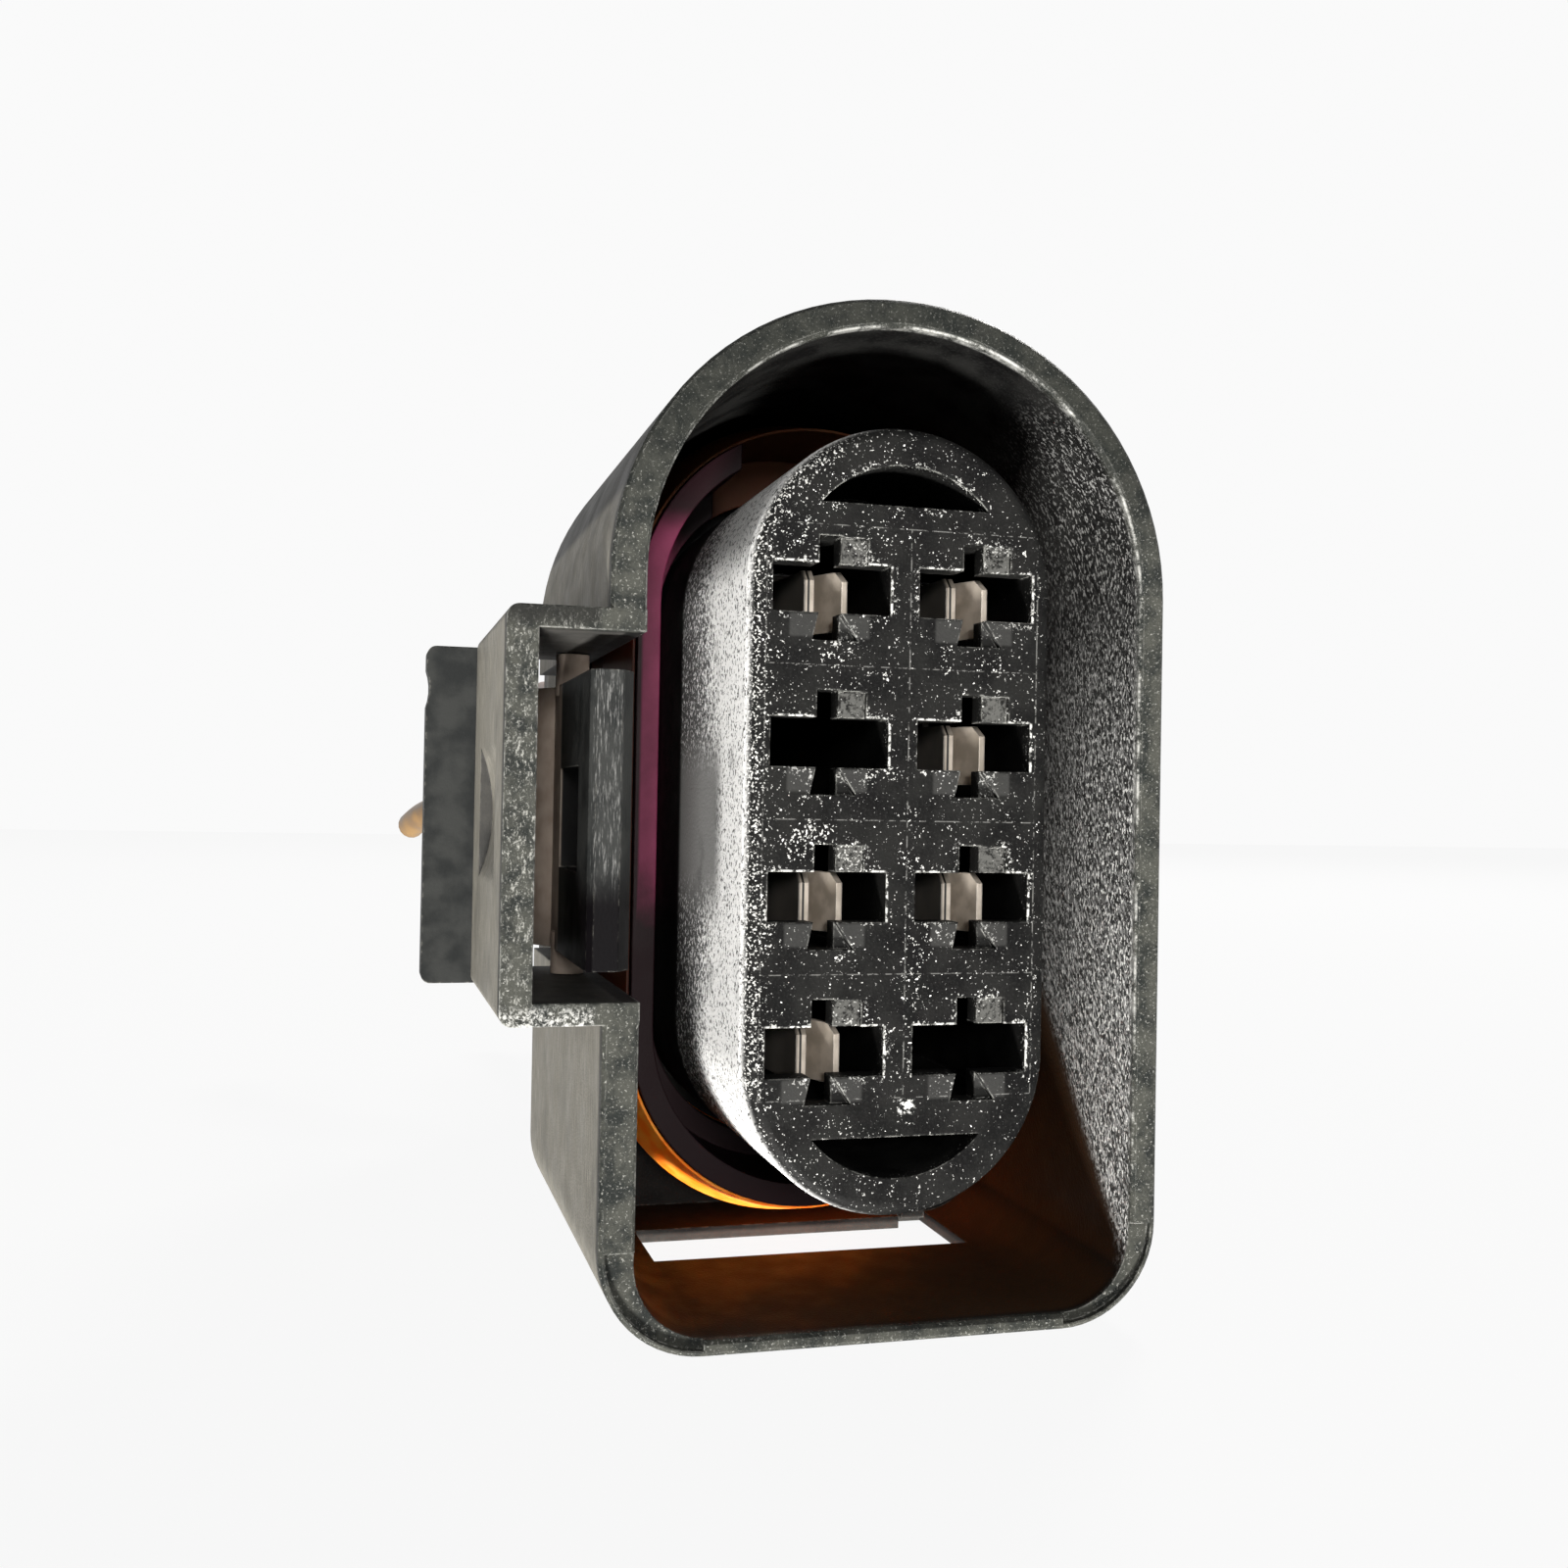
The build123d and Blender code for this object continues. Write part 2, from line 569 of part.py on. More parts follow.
def contact_arms():
    """The straight left arm and the right one, flared at its tip and pinched on the blade."""
    root = BOX_WIDTH / 2 - SHEET
    rest = Polygon(
        (-REST_FACE - REST_THICKNESS, ARM_TIP),
        (-REST_FACE, ARM_TIP),
        (-REST_FACE, CONTACT_Y),
        (ARM_THICKNESS - root, ARM_ROOT_END),
        (-root - LAP, ARM_ROOT_END),
        (-root - LAP, ARM_ROOT_START),
        (-REST_FACE - REST_THICKNESS, CONTACT_Y),
        align=None,
    )
    spring = Polygon(
        (ARM_FLARE, ARM_TIP),
        (ARM_FLARE + ARM_THICKNESS, ARM_TIP),
        (ARM_PINCH + ARM_THICKNESS, CONTACT_Y),
        (root + LAP, ARM_ROOT_START),
        (root + LAP, ARM_ROOT_END),
        (root - ARM_THICKNESS, ARM_ROOT_END),
        (ARM_PINCH, CONTACT_Y),
        align=None,
    )
    for plan in (rest, spring):
        arm = upright(plan, ARM_HEIGHT / 2)
        arm = chamfer(arm.edges().filter_by(Axis.X).group_by(Axis.Y)[0], ARM_EDGE)
        yield Pos(0, 0, -ARM_DROP) * arm


def make_terminal():
    """Folded receptacle: two spring arms, box, neck and both crimp barrels."""
    outline = Rectangle(BOX_WIDTH, BOX_HEIGHT)
    hollow = Rectangle(BOX_WIDTH - 2 * SHEET, BOX_HEIGHT - 2 * SHEET)
    body = slab(outline - hollow, BOX_START, BOX_END)
    for arm in contact_arms():
        body += arm
    body += rod(strand_hole + SHEET, WIRE_CRIMP_START, WIRE_CRIMP_END)
    body += rod(neck_radius + CRIMP_FIT + SHEET, SEAL_CRIMP_START, SEAL_CRIMP_END)
    half = NECK_WIDTH / 2
    low = -BOX_HEIGHT / 2
    body += block(-half, half, BOX_END - PAST, SEAL_CRIMP_START + NECK_LAP, low, low + SHEET)
    body += block(-half, half, WIRE_CRIMP_START, WIRE_CRIMP_END, low, -strand_hole)
    body -= rod(strand_hole, WIRE_CRIMP_START + SHEET, WIRE_CRIMP_END + PAST)
    neck_hole = WIRE_SEAL_NECK_START - NECK_ROOM
    return body - rod(neck_radius + CRIMP_FIT, neck_hole, SEAL_CRIMP_END + PAST)


def make_cage():
    """Steel cage around a terminal's box, with the sprung lance on its top."""
    width = BOX_WIDTH + 2 * CAGE_CLEARANCE
    height = BOX_HEIGHT + 2 * CAGE_CLEARANCE
    outline = Rectangle(width + 2 * CAGE_SHEET, height + 2 * CAGE_SHEET) - Rectangle(width, height)
    cage = slab(outline, CAGE_START, CAGE_END)
    top = height / 2 + CAGE_SHEET
    foot = top - CAGE_SHEET / 2
    end = LANCE_START + LANCE_LENGTH
    side = Plane.YZ * Polygon((LANCE_START, foot), (end, foot), (end, top + LANCE_LIFT), align=None)
    return cage + extrude(side, LANCE_WIDTH / 2, both=True)


def ribbed_plug():
    """Silicone body of a wire seal or a plug, with ribs around its core."""
    plug = rod(WIRE_SEAL_RADIUS, WIRE_SEAL_START, wire_seal_end)
    low = Circle(WIRE_SEAL_RADIUS)
    high = Circle(RIB_RADIUS)
    pitch = WIRE_SEAL_LENGTH / (RIBS + 1)
    for n in range(1, RIBS + 1):
        crest = WIRE_SEAL_START + n * pitch
        plug += taper(low, high, crest - RIB_HALF_LENGTH, crest)
        plug += taper(high, low, crest, crest + RIB_HALF_LENGTH)
    return plug


def make_wire_seal():
    """Seal around a lead, with the neck that the rear crimp holds."""
    seal = ribbed_plug() + rod(neck_radius, WIRE_SEAL_NECK_START, WIRE_SEAL_START + LAP)
    return seal - rod(seal_bore, WIRE_SEAL_NECK_START - PAST, wire_seal_end + PAST)


def make_cavity_plug():
    """Solid plug for an empty cavity, with a bevelled head towards the rear."""
    head = rod(RIB_RADIUS, wire_seal_end, wire_seal_end + PLUG_HEAD_LENGTH)
    return ribbed_plug() + chamfer(head.edges().group_by(Axis.Y)[-1], PLUG_HEAD_EDGE)


def bend_radii(points):
    """Radius of the arc at each inner point: share of the shorter run over half the turn's tangent."""
    radii = []
    for before, at, after in zip(points, points[1:], points[2:]):
        run_in = Vector(at) - Vector(before)
        run_out = Vector(after) - Vector(at)
        half_turn = radians(run_in.get_angle(run_out)) / 2
        radii.append(BEND_SHARE * min(run_in.length, run_out.length) / tan(half_turn))
    return radii


def make_lead(route, x, z):
    """Lead from its bared strands in the crimp, through its seal, to its cut end."""
    points = [(x + across, wire_seal_end + back, z + up) for across, back, up in [(0, 0, 0), *route]]
    radii = bend_radii(points)
    path = FilletPolyline(*points, radius=radii)
    free = sweep(Plane(path @ 0, z_dir=path % 0) * Circle(LEAD_RADIUS), path)
    straight = rod(LEAD_RADIUS, INSULATION_START, wire_seal_end)
    straight += rod(STRAND_RADIUS, STRIP_START, INSULATION_START + LAP)
    ideal = pi * LEAD_RADIUS**2 * path.length
    print(f"lead {path.length:.1f} mm free, radii {[round(r, 1) for r in radii]},", end=" ")
    print(f"volume {free.volume:.2f} of {ideal:.2f}")
    return Pos(x, 0, z) * straight + free


def parts():
    """Every node's name and solid."""
    yield "housing", make_housing()
    yield "latch_lever", make_lever()
    yield "secondary_lock", make_lock()
    yield "interface_seal", make_interface_seal()
    terminal = make_terminal()
    cage = make_cage()
    wire_seal = make_wire_seal()
    cavity_plug = make_cavity_plug()
    leads = 0
    plugs = 0
    for column, row, x, z in cavities():
        place = Pos(x, 0, z)
        if (column, row) not in LEAD_ROUTES:
            plugs += 1
            yield f"cavity_plug_{plugs}", place * cavity_plug
            continue
        leads += 1
        yield f"terminal_{leads}", place * terminal
        yield f"spring_cage_{leads}", place * cage
        yield f"wire_seal_{leads}", place * wire_seal
        yield f"lead_{leads}", make_lead(LEAD_ROUTES[column, row], x, z)


os.makedirs("parts", exist_ok=True)
for name, solid in parts():
    export_step(solid, f"parts/{name}.step")
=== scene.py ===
# %% [markdown]
# # A pre-wired sealed plug
# The real object is a moulded eight-way plug, seen into its mating face. A black housing holds
# a tongue with eight cross-shaped cavity mouths. Around the tongue sit a violet secondary lock
# and an orange silicone seal, a latch lever rides under a guard on the left, and six crimped
# leads leave at the back and end where they were cut. The construction comes from the packed
# model. This notebook gives it its finish, its soft leads, its light and its camera.

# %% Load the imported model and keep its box
import json

import bmesh
import bpy
import numpy as np
from mathutils import Matrix, Vector

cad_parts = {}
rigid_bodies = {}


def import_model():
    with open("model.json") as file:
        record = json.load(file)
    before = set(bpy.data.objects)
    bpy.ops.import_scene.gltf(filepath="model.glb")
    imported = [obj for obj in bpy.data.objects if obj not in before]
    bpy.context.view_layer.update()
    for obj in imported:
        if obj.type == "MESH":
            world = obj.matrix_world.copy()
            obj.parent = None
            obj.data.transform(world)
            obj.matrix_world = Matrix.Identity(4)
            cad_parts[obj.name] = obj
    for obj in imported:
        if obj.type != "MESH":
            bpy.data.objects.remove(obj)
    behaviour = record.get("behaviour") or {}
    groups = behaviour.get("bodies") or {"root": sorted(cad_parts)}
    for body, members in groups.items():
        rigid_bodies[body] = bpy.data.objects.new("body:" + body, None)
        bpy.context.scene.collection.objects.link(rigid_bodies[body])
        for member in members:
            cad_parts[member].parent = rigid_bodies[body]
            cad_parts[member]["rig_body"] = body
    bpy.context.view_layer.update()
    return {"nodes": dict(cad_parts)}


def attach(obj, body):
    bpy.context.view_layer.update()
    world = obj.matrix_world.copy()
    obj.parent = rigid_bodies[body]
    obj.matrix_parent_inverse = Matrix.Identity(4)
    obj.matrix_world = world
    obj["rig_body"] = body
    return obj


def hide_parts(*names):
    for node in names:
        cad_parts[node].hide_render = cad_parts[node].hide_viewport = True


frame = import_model()
MM = 0.001

# %% [markdown]
# ## Camera
# The photograph was taken from very near, a little left of the tongue, so the left flank of the
# tongue and the left wall of the shroud both show. The place and the turn of the camera were
# solved from corners of known size: cavity pitch, tongue and rim. A long lens from further away
# could frame the part too, but the strong narrowing towards the back would be lost.

# %% Camera 49 mm in front of the tongue's face
CAMERA_PLACE = (-17.47, -48.61, 0.43)
CAMERA_RIGHT = (0.96353, -0.267, 0.01804)
CAMERA_UP = (-0.02105, -0.00844, 0.99974)
FOCAL_OVER_WIDTH = 1606.5 / 1600
SENSOR_WIDTH = 36.0

camera = bpy.data.objects.new("camera", bpy.data.cameras.new("camera"))
bpy.context.scene.collection.objects.link(camera)
right = Vector(CAMERA_RIGHT).normalized()
backward = right.cross(Vector(CAMERA_UP)).normalized()
upward = backward.cross(right)
turn = Matrix((right, upward, backward)).transposed().to_4x4()
camera.matrix_world = Matrix.Translation(Vector(CAMERA_PLACE) * MM) @ turn
camera.data.sensor_width = SENSOR_WIDTH
camera.data.lens = SENSOR_WIDTH * FOCAL_OVER_WIDTH
camera.data.clip_start = MM
bpy.context.scene.camera = camera
bpy.context.scene.view_settings.view_transform = "Standard"
print("camera lens", round(camera.data.lens, 2), "mm")

# %% [markdown]
# ## Leads
# Each lead is a stranded copper wire in thin insulation that leaves its silicone seal and was
# cut off about 30 mm behind the plug. A smooth curve through a few control points bends as a
# real lead does. A tube built from arcs and straight runs would look like bent wire.

# %% Six leads as smooth curves with a round section
LEAD_RADIUS = 0.9
SEAL_REAR = 36.6
CAVITY_PITCH = 5.0
COLUMN_X = (-2.57, 2.43)
ROW_Z = (7.5, 2.5, -2.5, -7.5)
LEAD_ROUTES = [
    (0, 0, [(0.2, 8.2, -0.1), (-0.7, 16.6, 0.9), (-0.2, 25.2, 0.5), (-0.9, 33.0, 1.0)]),
    (0, 2, [(-0.4, 8.3, 0.2), (-3.8, 15.8, 1.9), (-9.3, 20.6, 2.9), (-10.6, 27.3, 1.1)]),
    (0, 3, [(0.1, 7.4, 0.1), (1.1, 15.0, -1.0), (0.9, 23.0, -1.8), (-0.3, 30.4, -1.7)]),
    (1, 0, [(0.1, 8.6, 0.1), (1.3, 17.4, -0.6), (1.4, 26.4, -1.9), (2.9, 34.6, -2.2)]),
    (1, 1, [(-0.1, 7.6, 0.1), (0.9, 15.6, -0.4), (3.4, 23.4, 0.3), (4.6, 31.0, 1.9)]),
    (1, 2, [(0.1, 8.0, -0.1), (-0.9, 16.3, -0.3), (-0.4, 24.9, -1.4), (0.6, 32.7, -1.1)]),
]


def lead_points(column, row, route):
    """Control points of one lead in millimetres, from its seal's rear to its cut end."""
    start = np.array([COLUMN_X[column], SEAL_REAR, ROW_Z[row]])
    return start + np.array([(0, 0, 0), *route])


def smooth_curve(name, points):
    """Curve object with one quadratic spline that starts and ends at its outer points."""
    curve = bpy.data.curves.new(name, "CURVE")
    curve.dimensions = "3D"
    curve.resolution_u = 24
    spline = curve.splines.new("NURBS")
    spline.points.add(len(points) - 1)
    weights = np.ones((len(points), 1))
    spline.points.foreach_set("co", np.hstack([points * MM, weights]).ravel())
    spline.order_u = 3
    spline.use_endpoint_u = True
    piece = bpy.data.objects.new(name, curve)
    bpy.context.scene.collection.objects.link(piece)
    return piece


leads = []
for number, (column, row, route) in enumerate(LEAD_ROUTES, 1):
    lead = smooth_curve(f"lead_{number}_insulation", lead_points(column, row, route))
    lead.data.bevel_depth = LEAD_RADIUS * MM
    lead.data.bevel_resolution = 6
    lead.data.use_fill_caps = True
    leads.append(lead)
print(len(leads), "leads")

# %% [markdown]
# ## Helpers for surfaces
# Every new piece is a profile turned about a line, worked out as one array of points. An array
# keeps the shape a formula that can be read, where modelling by hand would leave only its
# result.

# %% A grid of points becomes a closed mesh
NEW_PIECE_WELD = 1e-7
NEW_PIECE_CREASE = np.radians(35)


def grid_faces(rows, columns):
    """Four-sided faces between neighbouring points of a grid whose last column meets its first."""
    index = np.arange(rows * columns).reshape(rows, columns)
    index = np.hstack([index, index[:, :1]])
    corners = [index[:-1, :-1], index[:-1, 1:], index[1:, 1:], index[1:, :-1]]
    return np.stack(corners, axis=-1).reshape(-1, 4)


def tidy_mesh(mesh, weld=NEW_PIECE_WELD):
    """Merges doubled points, drops faces without area and turns every face outwards."""
    work = bmesh.new()
    work.from_mesh(mesh)
    bmesh.ops.remove_doubles(work, verts=work.verts, dist=weld)
    bmesh.ops.dissolve_degenerate(work, edges=work.edges, dist=weld)
    bmesh.ops.recalc_face_normals(work, faces=work.faces)
    work.to_mesh(mesh)
    work.free()


def skins(name, grids):
    """One object from closed grids of points in millimetres, each grid rows by columns by 3."""
    points = []
    faces = []
    for grid in grids:
        faces.append(grid_faces(*grid.shape[:2]) + sum(len(p) for p in points))
        points.append(grid.reshape(-1, 3))
    mesh = bpy.data.meshes.new(name)
    mesh.from_pydata(np.vstack(points) * MM, [], np.vstack(faces).tolist())
    tidy_mesh(mesh)
    mesh.shade_smooth()
    mesh.set_sharp_from_angle(angle=NEW_PIECE_CREASE)
    piece = bpy.data.objects.new(name, mesh)
    bpy.context.scene.collection.objects.link(piece)
    return piece


def turned(profile, x=0.0, z=0.0, sides=24):
    """Profile of (radius, y) pairs turned about the line through (x, z) along Y. The point at
    angle a is (x + radius cos a, y, z + radius sin a)."""
    angle = np.linspace(0, 2 * np.pi, sides, endpoint=False)
    radius, along = np.array(profile, float).T
    across = x + np.outer(radius, np.cos(angle))
    upward = z + np.outer(radius, np.sin(angle))
    return np.stack([across, np.outer(along, np.ones(sides)), upward], axis=-1)


print("surface helpers ready")

# %% [markdown]
# ## Floor and background
# The photograph shows a near-white surround with hardly any shadow. Strong lamps on a pale floor
# would turn it white too, but they would bleach the part. So the floor and the world glow only
# for the rays that show them: from the camera, in a gloss or through a clear piece. For all
# other rays the floor is matte and the world is dim. The floor keeps a small share of its matte
# side in view, which holds the part's shadow, and casts no shade on the part, because one lamp
# stands under it.

# %% Rays that show the background
def grey(value):
    """Neutral colour of one value."""
    return (value, value, value, 1)


def background_rays(tree):
    """One for a ray that shows the background: a camera ray, a glossy or a transmitted one."""
    path_kind = tree.nodes.new("ShaderNodeLightPath")
    shown = path_kind.outputs["Is Camera Ray"]
    for kind in ("Is Glossy Ray", "Is Transmission Ray"):
        larger = tree.nodes.new("ShaderNodeMath")
        larger.operation = "MAXIMUM"
        tree.links.new(shown, larger.inputs[0])
        tree.links.new(path_kind.outputs[kind], larger.inputs[1])
        shown = larger.outputs[0]
    return shown


def join(tree, output_kind, share, unseen, seen):
    """Output fed by two shaders: unseen where share is none, seen where it is one."""
    output = tree.nodes.new(output_kind)
    mixer = tree.nodes.new("ShaderNodeMixShader")
    tree.links.new(share, mixer.inputs[0])
    tree.links.new(unseen.outputs[0], mixer.inputs[1])
    tree.links.new(seen.outputs[0], mixer.inputs[2])
    tree.links.new(mixer.outputs[0], output.inputs[0])


print("background helpers ready")

# %% Floor
FLOOR_Z = -17.0
FLOOR_SIZE = 1.5
FLOOR_MATTE = 0.86
FLOOR_GLOW = 0.945
GLOW_SHARE = 0.98

floor_mesh = bpy.data.meshes.new("floor")
half = FLOOR_SIZE / 2
corners = np.array([(-half, -half, 0), (half, -half, 0), (half, half, 0), (-half, half, 0)])
floor_mesh.from_pydata(corners + (0, 0, FLOOR_Z * MM), [], [(0, 1, 2, 3)])
floor = bpy.data.objects.new("floor", floor_mesh)
bpy.context.scene.collection.objects.link(floor)
floor.visible_shadow = False

pale = bpy.data.materials.new("pale_floor")
pale.use_nodes = True
tree = pale.node_tree
tree.nodes.clear()
matte = tree.nodes.new("ShaderNodeBsdfDiffuse")
matte.inputs["Color"].default_value = grey(FLOOR_MATTE)
glow = tree.nodes.new("ShaderNodeEmission")
glow.inputs["Color"].default_value = grey(FLOOR_GLOW)
share = tree.nodes.new("ShaderNodeMath")
share.operation = "MULTIPLY"
share.inputs[1].default_value = GLOW_SHARE
tree.links.new(background_rays(tree), share.inputs[0])
join(tree, "ShaderNodeOutputMaterial", share.outputs[0], matte, glow)
floor_mesh.materials.append(pale)
print("floor at", FLOOR_Z, "mm")

# %% World
WORLD_STRENGTH = 0.22
WORLD_SEEN = 0.955

world = bpy.data.worlds.new("studio")
bpy.context.scene.world = world
world.use_nodes = True
tree = world.node_tree
tree.nodes.clear()
room = tree.nodes.new("ShaderNodeBackground")
room.inputs["Strength"].default_value = WORLD_STRENGTH
seen = tree.nodes.new("ShaderNodeBackground")
seen.inputs["Color"].default_value = grey(WORLD_SEEN)
join(tree, "ShaderNodeOutputWorld", background_rays(tree), room, seen)
print("world strength", WORLD_STRENGTH)

# %% [markdown]
# ## Lamps
# The key lamp stands low on the left in front. It rakes the tongue's left flank, shines up the
# right inner wall and reaches the seal through the slot in the base, while the walls above and
# below stay dark, as photographed. A weak lamp beside the camera looks straight in and lights
# the lock. A third stands behind on the right for the back, which the photograph doesn't show.
# One large lamp in front would be simpler, but it would flatten the worn grain.

# %% Lamps, each by the direction it shines from, its width and its power
LAMP_TINT = (1.0, 0.98, 0.95)
LAMP_DISTANCE = 520
LAMPS = [
    ("key_lamp", (-0.36, -1.0, -1.3), 90, 8.0),
    ("rear_lamp", (0.75, 1.0, 1.1), 90, 4.5),
    ("front_lamp", (-0.12, -1.0, 0.18), 80, 1.5),
]
AIM = Vector((-3.0, 6.0, 0.0))
for name, direction, width, power in LAMPS:
    lamp = bpy.data.objects.new(name, bpy.data.lights.new(name, "AREA"))
    lamp.data.size = width * MM
    lamp.data.energy = power
    lamp.data.color = LAMP_TINT
    direction = Vector(direction).normalized()
    lamp.location = (AIM + direction * LAMP_DISTANCE) * MM
    lamp.rotation_euler = direction.to_track_quat("Z", "Y").to_euler()
    bpy.context.scene.collection.objects.link(lamp)
print(len(LAMPS), "lamps")

# %% [markdown]
# ## Helpers for finishes
# All patterns are measured in millimetres on the part's own axes. A class keeps the node tree of
# one finish and gives short names to the few things that every finish needs: noise of a
# real size, a soft step, a mask by place or by facing, and a mix of colours.

# %% The finish builder
BEVEL_SAMPLES = 6


class Finish:
    """Node tree of one material. Sockets stand for values, numbers are set directly."""

    def __init__(self, name):
        self.material = bpy.data.materials.new(name)
        self.material.use_nodes = True
        self.tree = self.material.node_tree
        self.shader = self.tree.nodes["Principled BSDF"]
        coordinates = self.add("ShaderNodeTexCoord")
        self.place = self.scaled(coordinates.outputs["Object"], (1 / MM, 1 / MM, 1 / MM))
        self.at = list(self.add("ShaderNodeSeparateXYZ", {0: self.place}).outputs)
        facing = self.add("ShaderNodeSeparateXYZ", {0: coordinates.outputs["Normal"]})
        self.facing = list(facing.outputs)

    def add(self, kind, inputs=None, **settings):
        """New node with its settings, and each input linked to a socket or set to a number."""
        node = self.tree.nodes.new(kind)
        for key, value in settings.items():
            setattr(node, key, value)
        for key, value in (inputs or {}).items():
            if isinstance(value, bpy.types.NodeSocket):
                self.tree.links.new(value, node.inputs[key])
            else:
                node.inputs[key].default_value = value
        return node

    def scaled(self, vector, scale, shift=(0, 0, 0)):
        """Coordinates stretched along each axis and moved."""
        inputs = {"Vector": vector, "Location": shift, "Scale": scale}
        return self.add("ShaderNodeMapping", inputs).outputs[0]

    def math(self, operation, a, b=0.0):
        """Arithmetic on two values."""
        return self.add("ShaderNodeMath", {0: a, 1: b}, operation=operation).outputs[0]

    def times(self, *values):
        """Product of several masks."""
        product = values[0]
        for value in values[1:]:
            product = self.math("MULTIPLY", product, value)
        return product

    def most(self, *values):
        """Largest of several masks."""
        largest = values[0]
        for value in values[1:]:
            largest = self.math("MAXIMUM", largest, value)
        return largest

    def step(self, value, low, high, out_low=0.0, out_high=1.0):
        """Soft step: out_low below low, out_high above high, and smooth between them. With low
        over high it falls instead."""
        if low > high:
            low, high, out_low, out_high = high, low, out_high, out_low
        inputs = {0: value, 1: low, 2: high, 3: out_low, 4: out_high}
        return self.add("ShaderNodeMapRange", inputs, interpolation_type="SMOOTHSTEP").outputs[0]

    def between(self, value, low, high, soft=0.15):
        """One between two limits, none outside, with soft edges."""
        return self.times(
            self.step(value, low - soft, low + soft), self.step(value, high + soft, high - soft)
        )

    def repeated(self, value, first, pitch):
        """Signed distance to the nearest of the places that lie one pitch apart from the first."""
        wrap = self.math("WRAP", self.math("SUBTRACT", value, first), pitch / 2).node
        wrap.inputs[2].default_value = -pitch / 2
        return wrap.outputs[0]

    def noise(
        self,
        size,
        detail=3.0,
        roughness=0.5,
        stretch=(1, 1, 1),
        shift=(0, 0, 0),
        warp=0.0,
        turn=0.0,
    ):
        """Cloudy pattern from 0 to 1 whose patches are about size millimetres across, turned
        about X by an angle in radians before it is stretched."""
        vector = self.place
        if turn:
            inputs = {"Vector": vector, "Rotation": (turn, 0, 0)}
            vector = self.add("ShaderNodeMapping", inputs).outputs[0]
        vector = self.scaled(vector, stretch, shift)
        inputs = {
            "Vector": vector,
            "Scale": 1 / size,
            "Detail": detail,
            "Roughness": roughness,
            "Distortion": warp,
        }
        return self.add("ShaderNodeTexNoise", inputs).outputs[0]

    def mix(self, share, a, b):
        """Colour a where share is none, and b where it is one."""
        node = self.add("ShaderNodeMix", {0: share}, data_type="RGBA")
        for socket, colour in ((6, a), (7, b)):
            if isinstance(colour, bpy.types.NodeSocket):
                self.tree.links.new(colour, node.inputs[socket])
            else:
                node.inputs[socket].default_value = (*colour, 1)
        return node.outputs[2]

    def rounded(self, radius):
        """Normal of the surface as if its edges were rounded by radius."""
        node = self.add("ShaderNodeBevel", {"Radius": radius * MM}, samples=BEVEL_SAMPLES)
        return node.outputs[0]

    def edges(self, radius, low=0.02, high=0.25):
        """Mask of the surface within radius of an edge, where the rounded normal leaves the
        true one."""
        true = self.add("ShaderNodeNewGeometry").outputs["Normal"]
        inputs = {0: self.rounded(radius), 1: true}
        node = self.add("ShaderNodeVectorMath", inputs, operation="DOT_PRODUCT")
        return self.step(self.math("SUBTRACT", 1.0, node.outputs["Value"]), low, high)

    def relief(self, height, depth, strength, rounding):
        """Bump of the given depth in millimetres from a height pattern, over rounded edges."""
        inputs = {"Height": height, "Distance": depth * MM, "Strength": strength}
        inputs["Normal"] = self.rounded(rounding)
        return self.add("ShaderNodeBump", inputs).outputs[0]

    def done(self, colour, roughness, normal=None, **fixed):
        """Connects the finish to its shader, and sets what is the same all over."""
        for key, value in (("Base Color", colour), ("Roughness", roughness), ("Normal", normal)):
            if isinstance(value, bpy.types.NodeSocket):
                self.tree.links.new(value, self.shader.inputs[key])
            elif value is not None:
                self.shader.inputs[key].default_value = value
        for key, value in fixed.items():
            self.shader.inputs[key.replace("_", " ")].default_value = value
        print("finish", self.material.name, "with", len(self.tree.nodes), "nodes")
        return self.material


# %% [markdown]
# ## Black moulding
# The housing is glass-filled black plastic that has been plugged, dropped and dusted. Its face is
# dark with white specks that gather along the slots, with painted glints among them. The tongue's
# left flank is worn to a pale grain under a painted glare that ends at the line of the wall's
# shadow. The right inner wall carries slanting scratches brightened by painted light, with painted
# warm brown shade below them, and the dust on the outer left wall is lightened into a painted
# grazing sheen. The guard has upright scratches, and the rim is smoother and a little green, with
# a painted highlight along its inner edge. One tree with masks by place gives all of this on a
# single moulding, where separate materials would show a border.

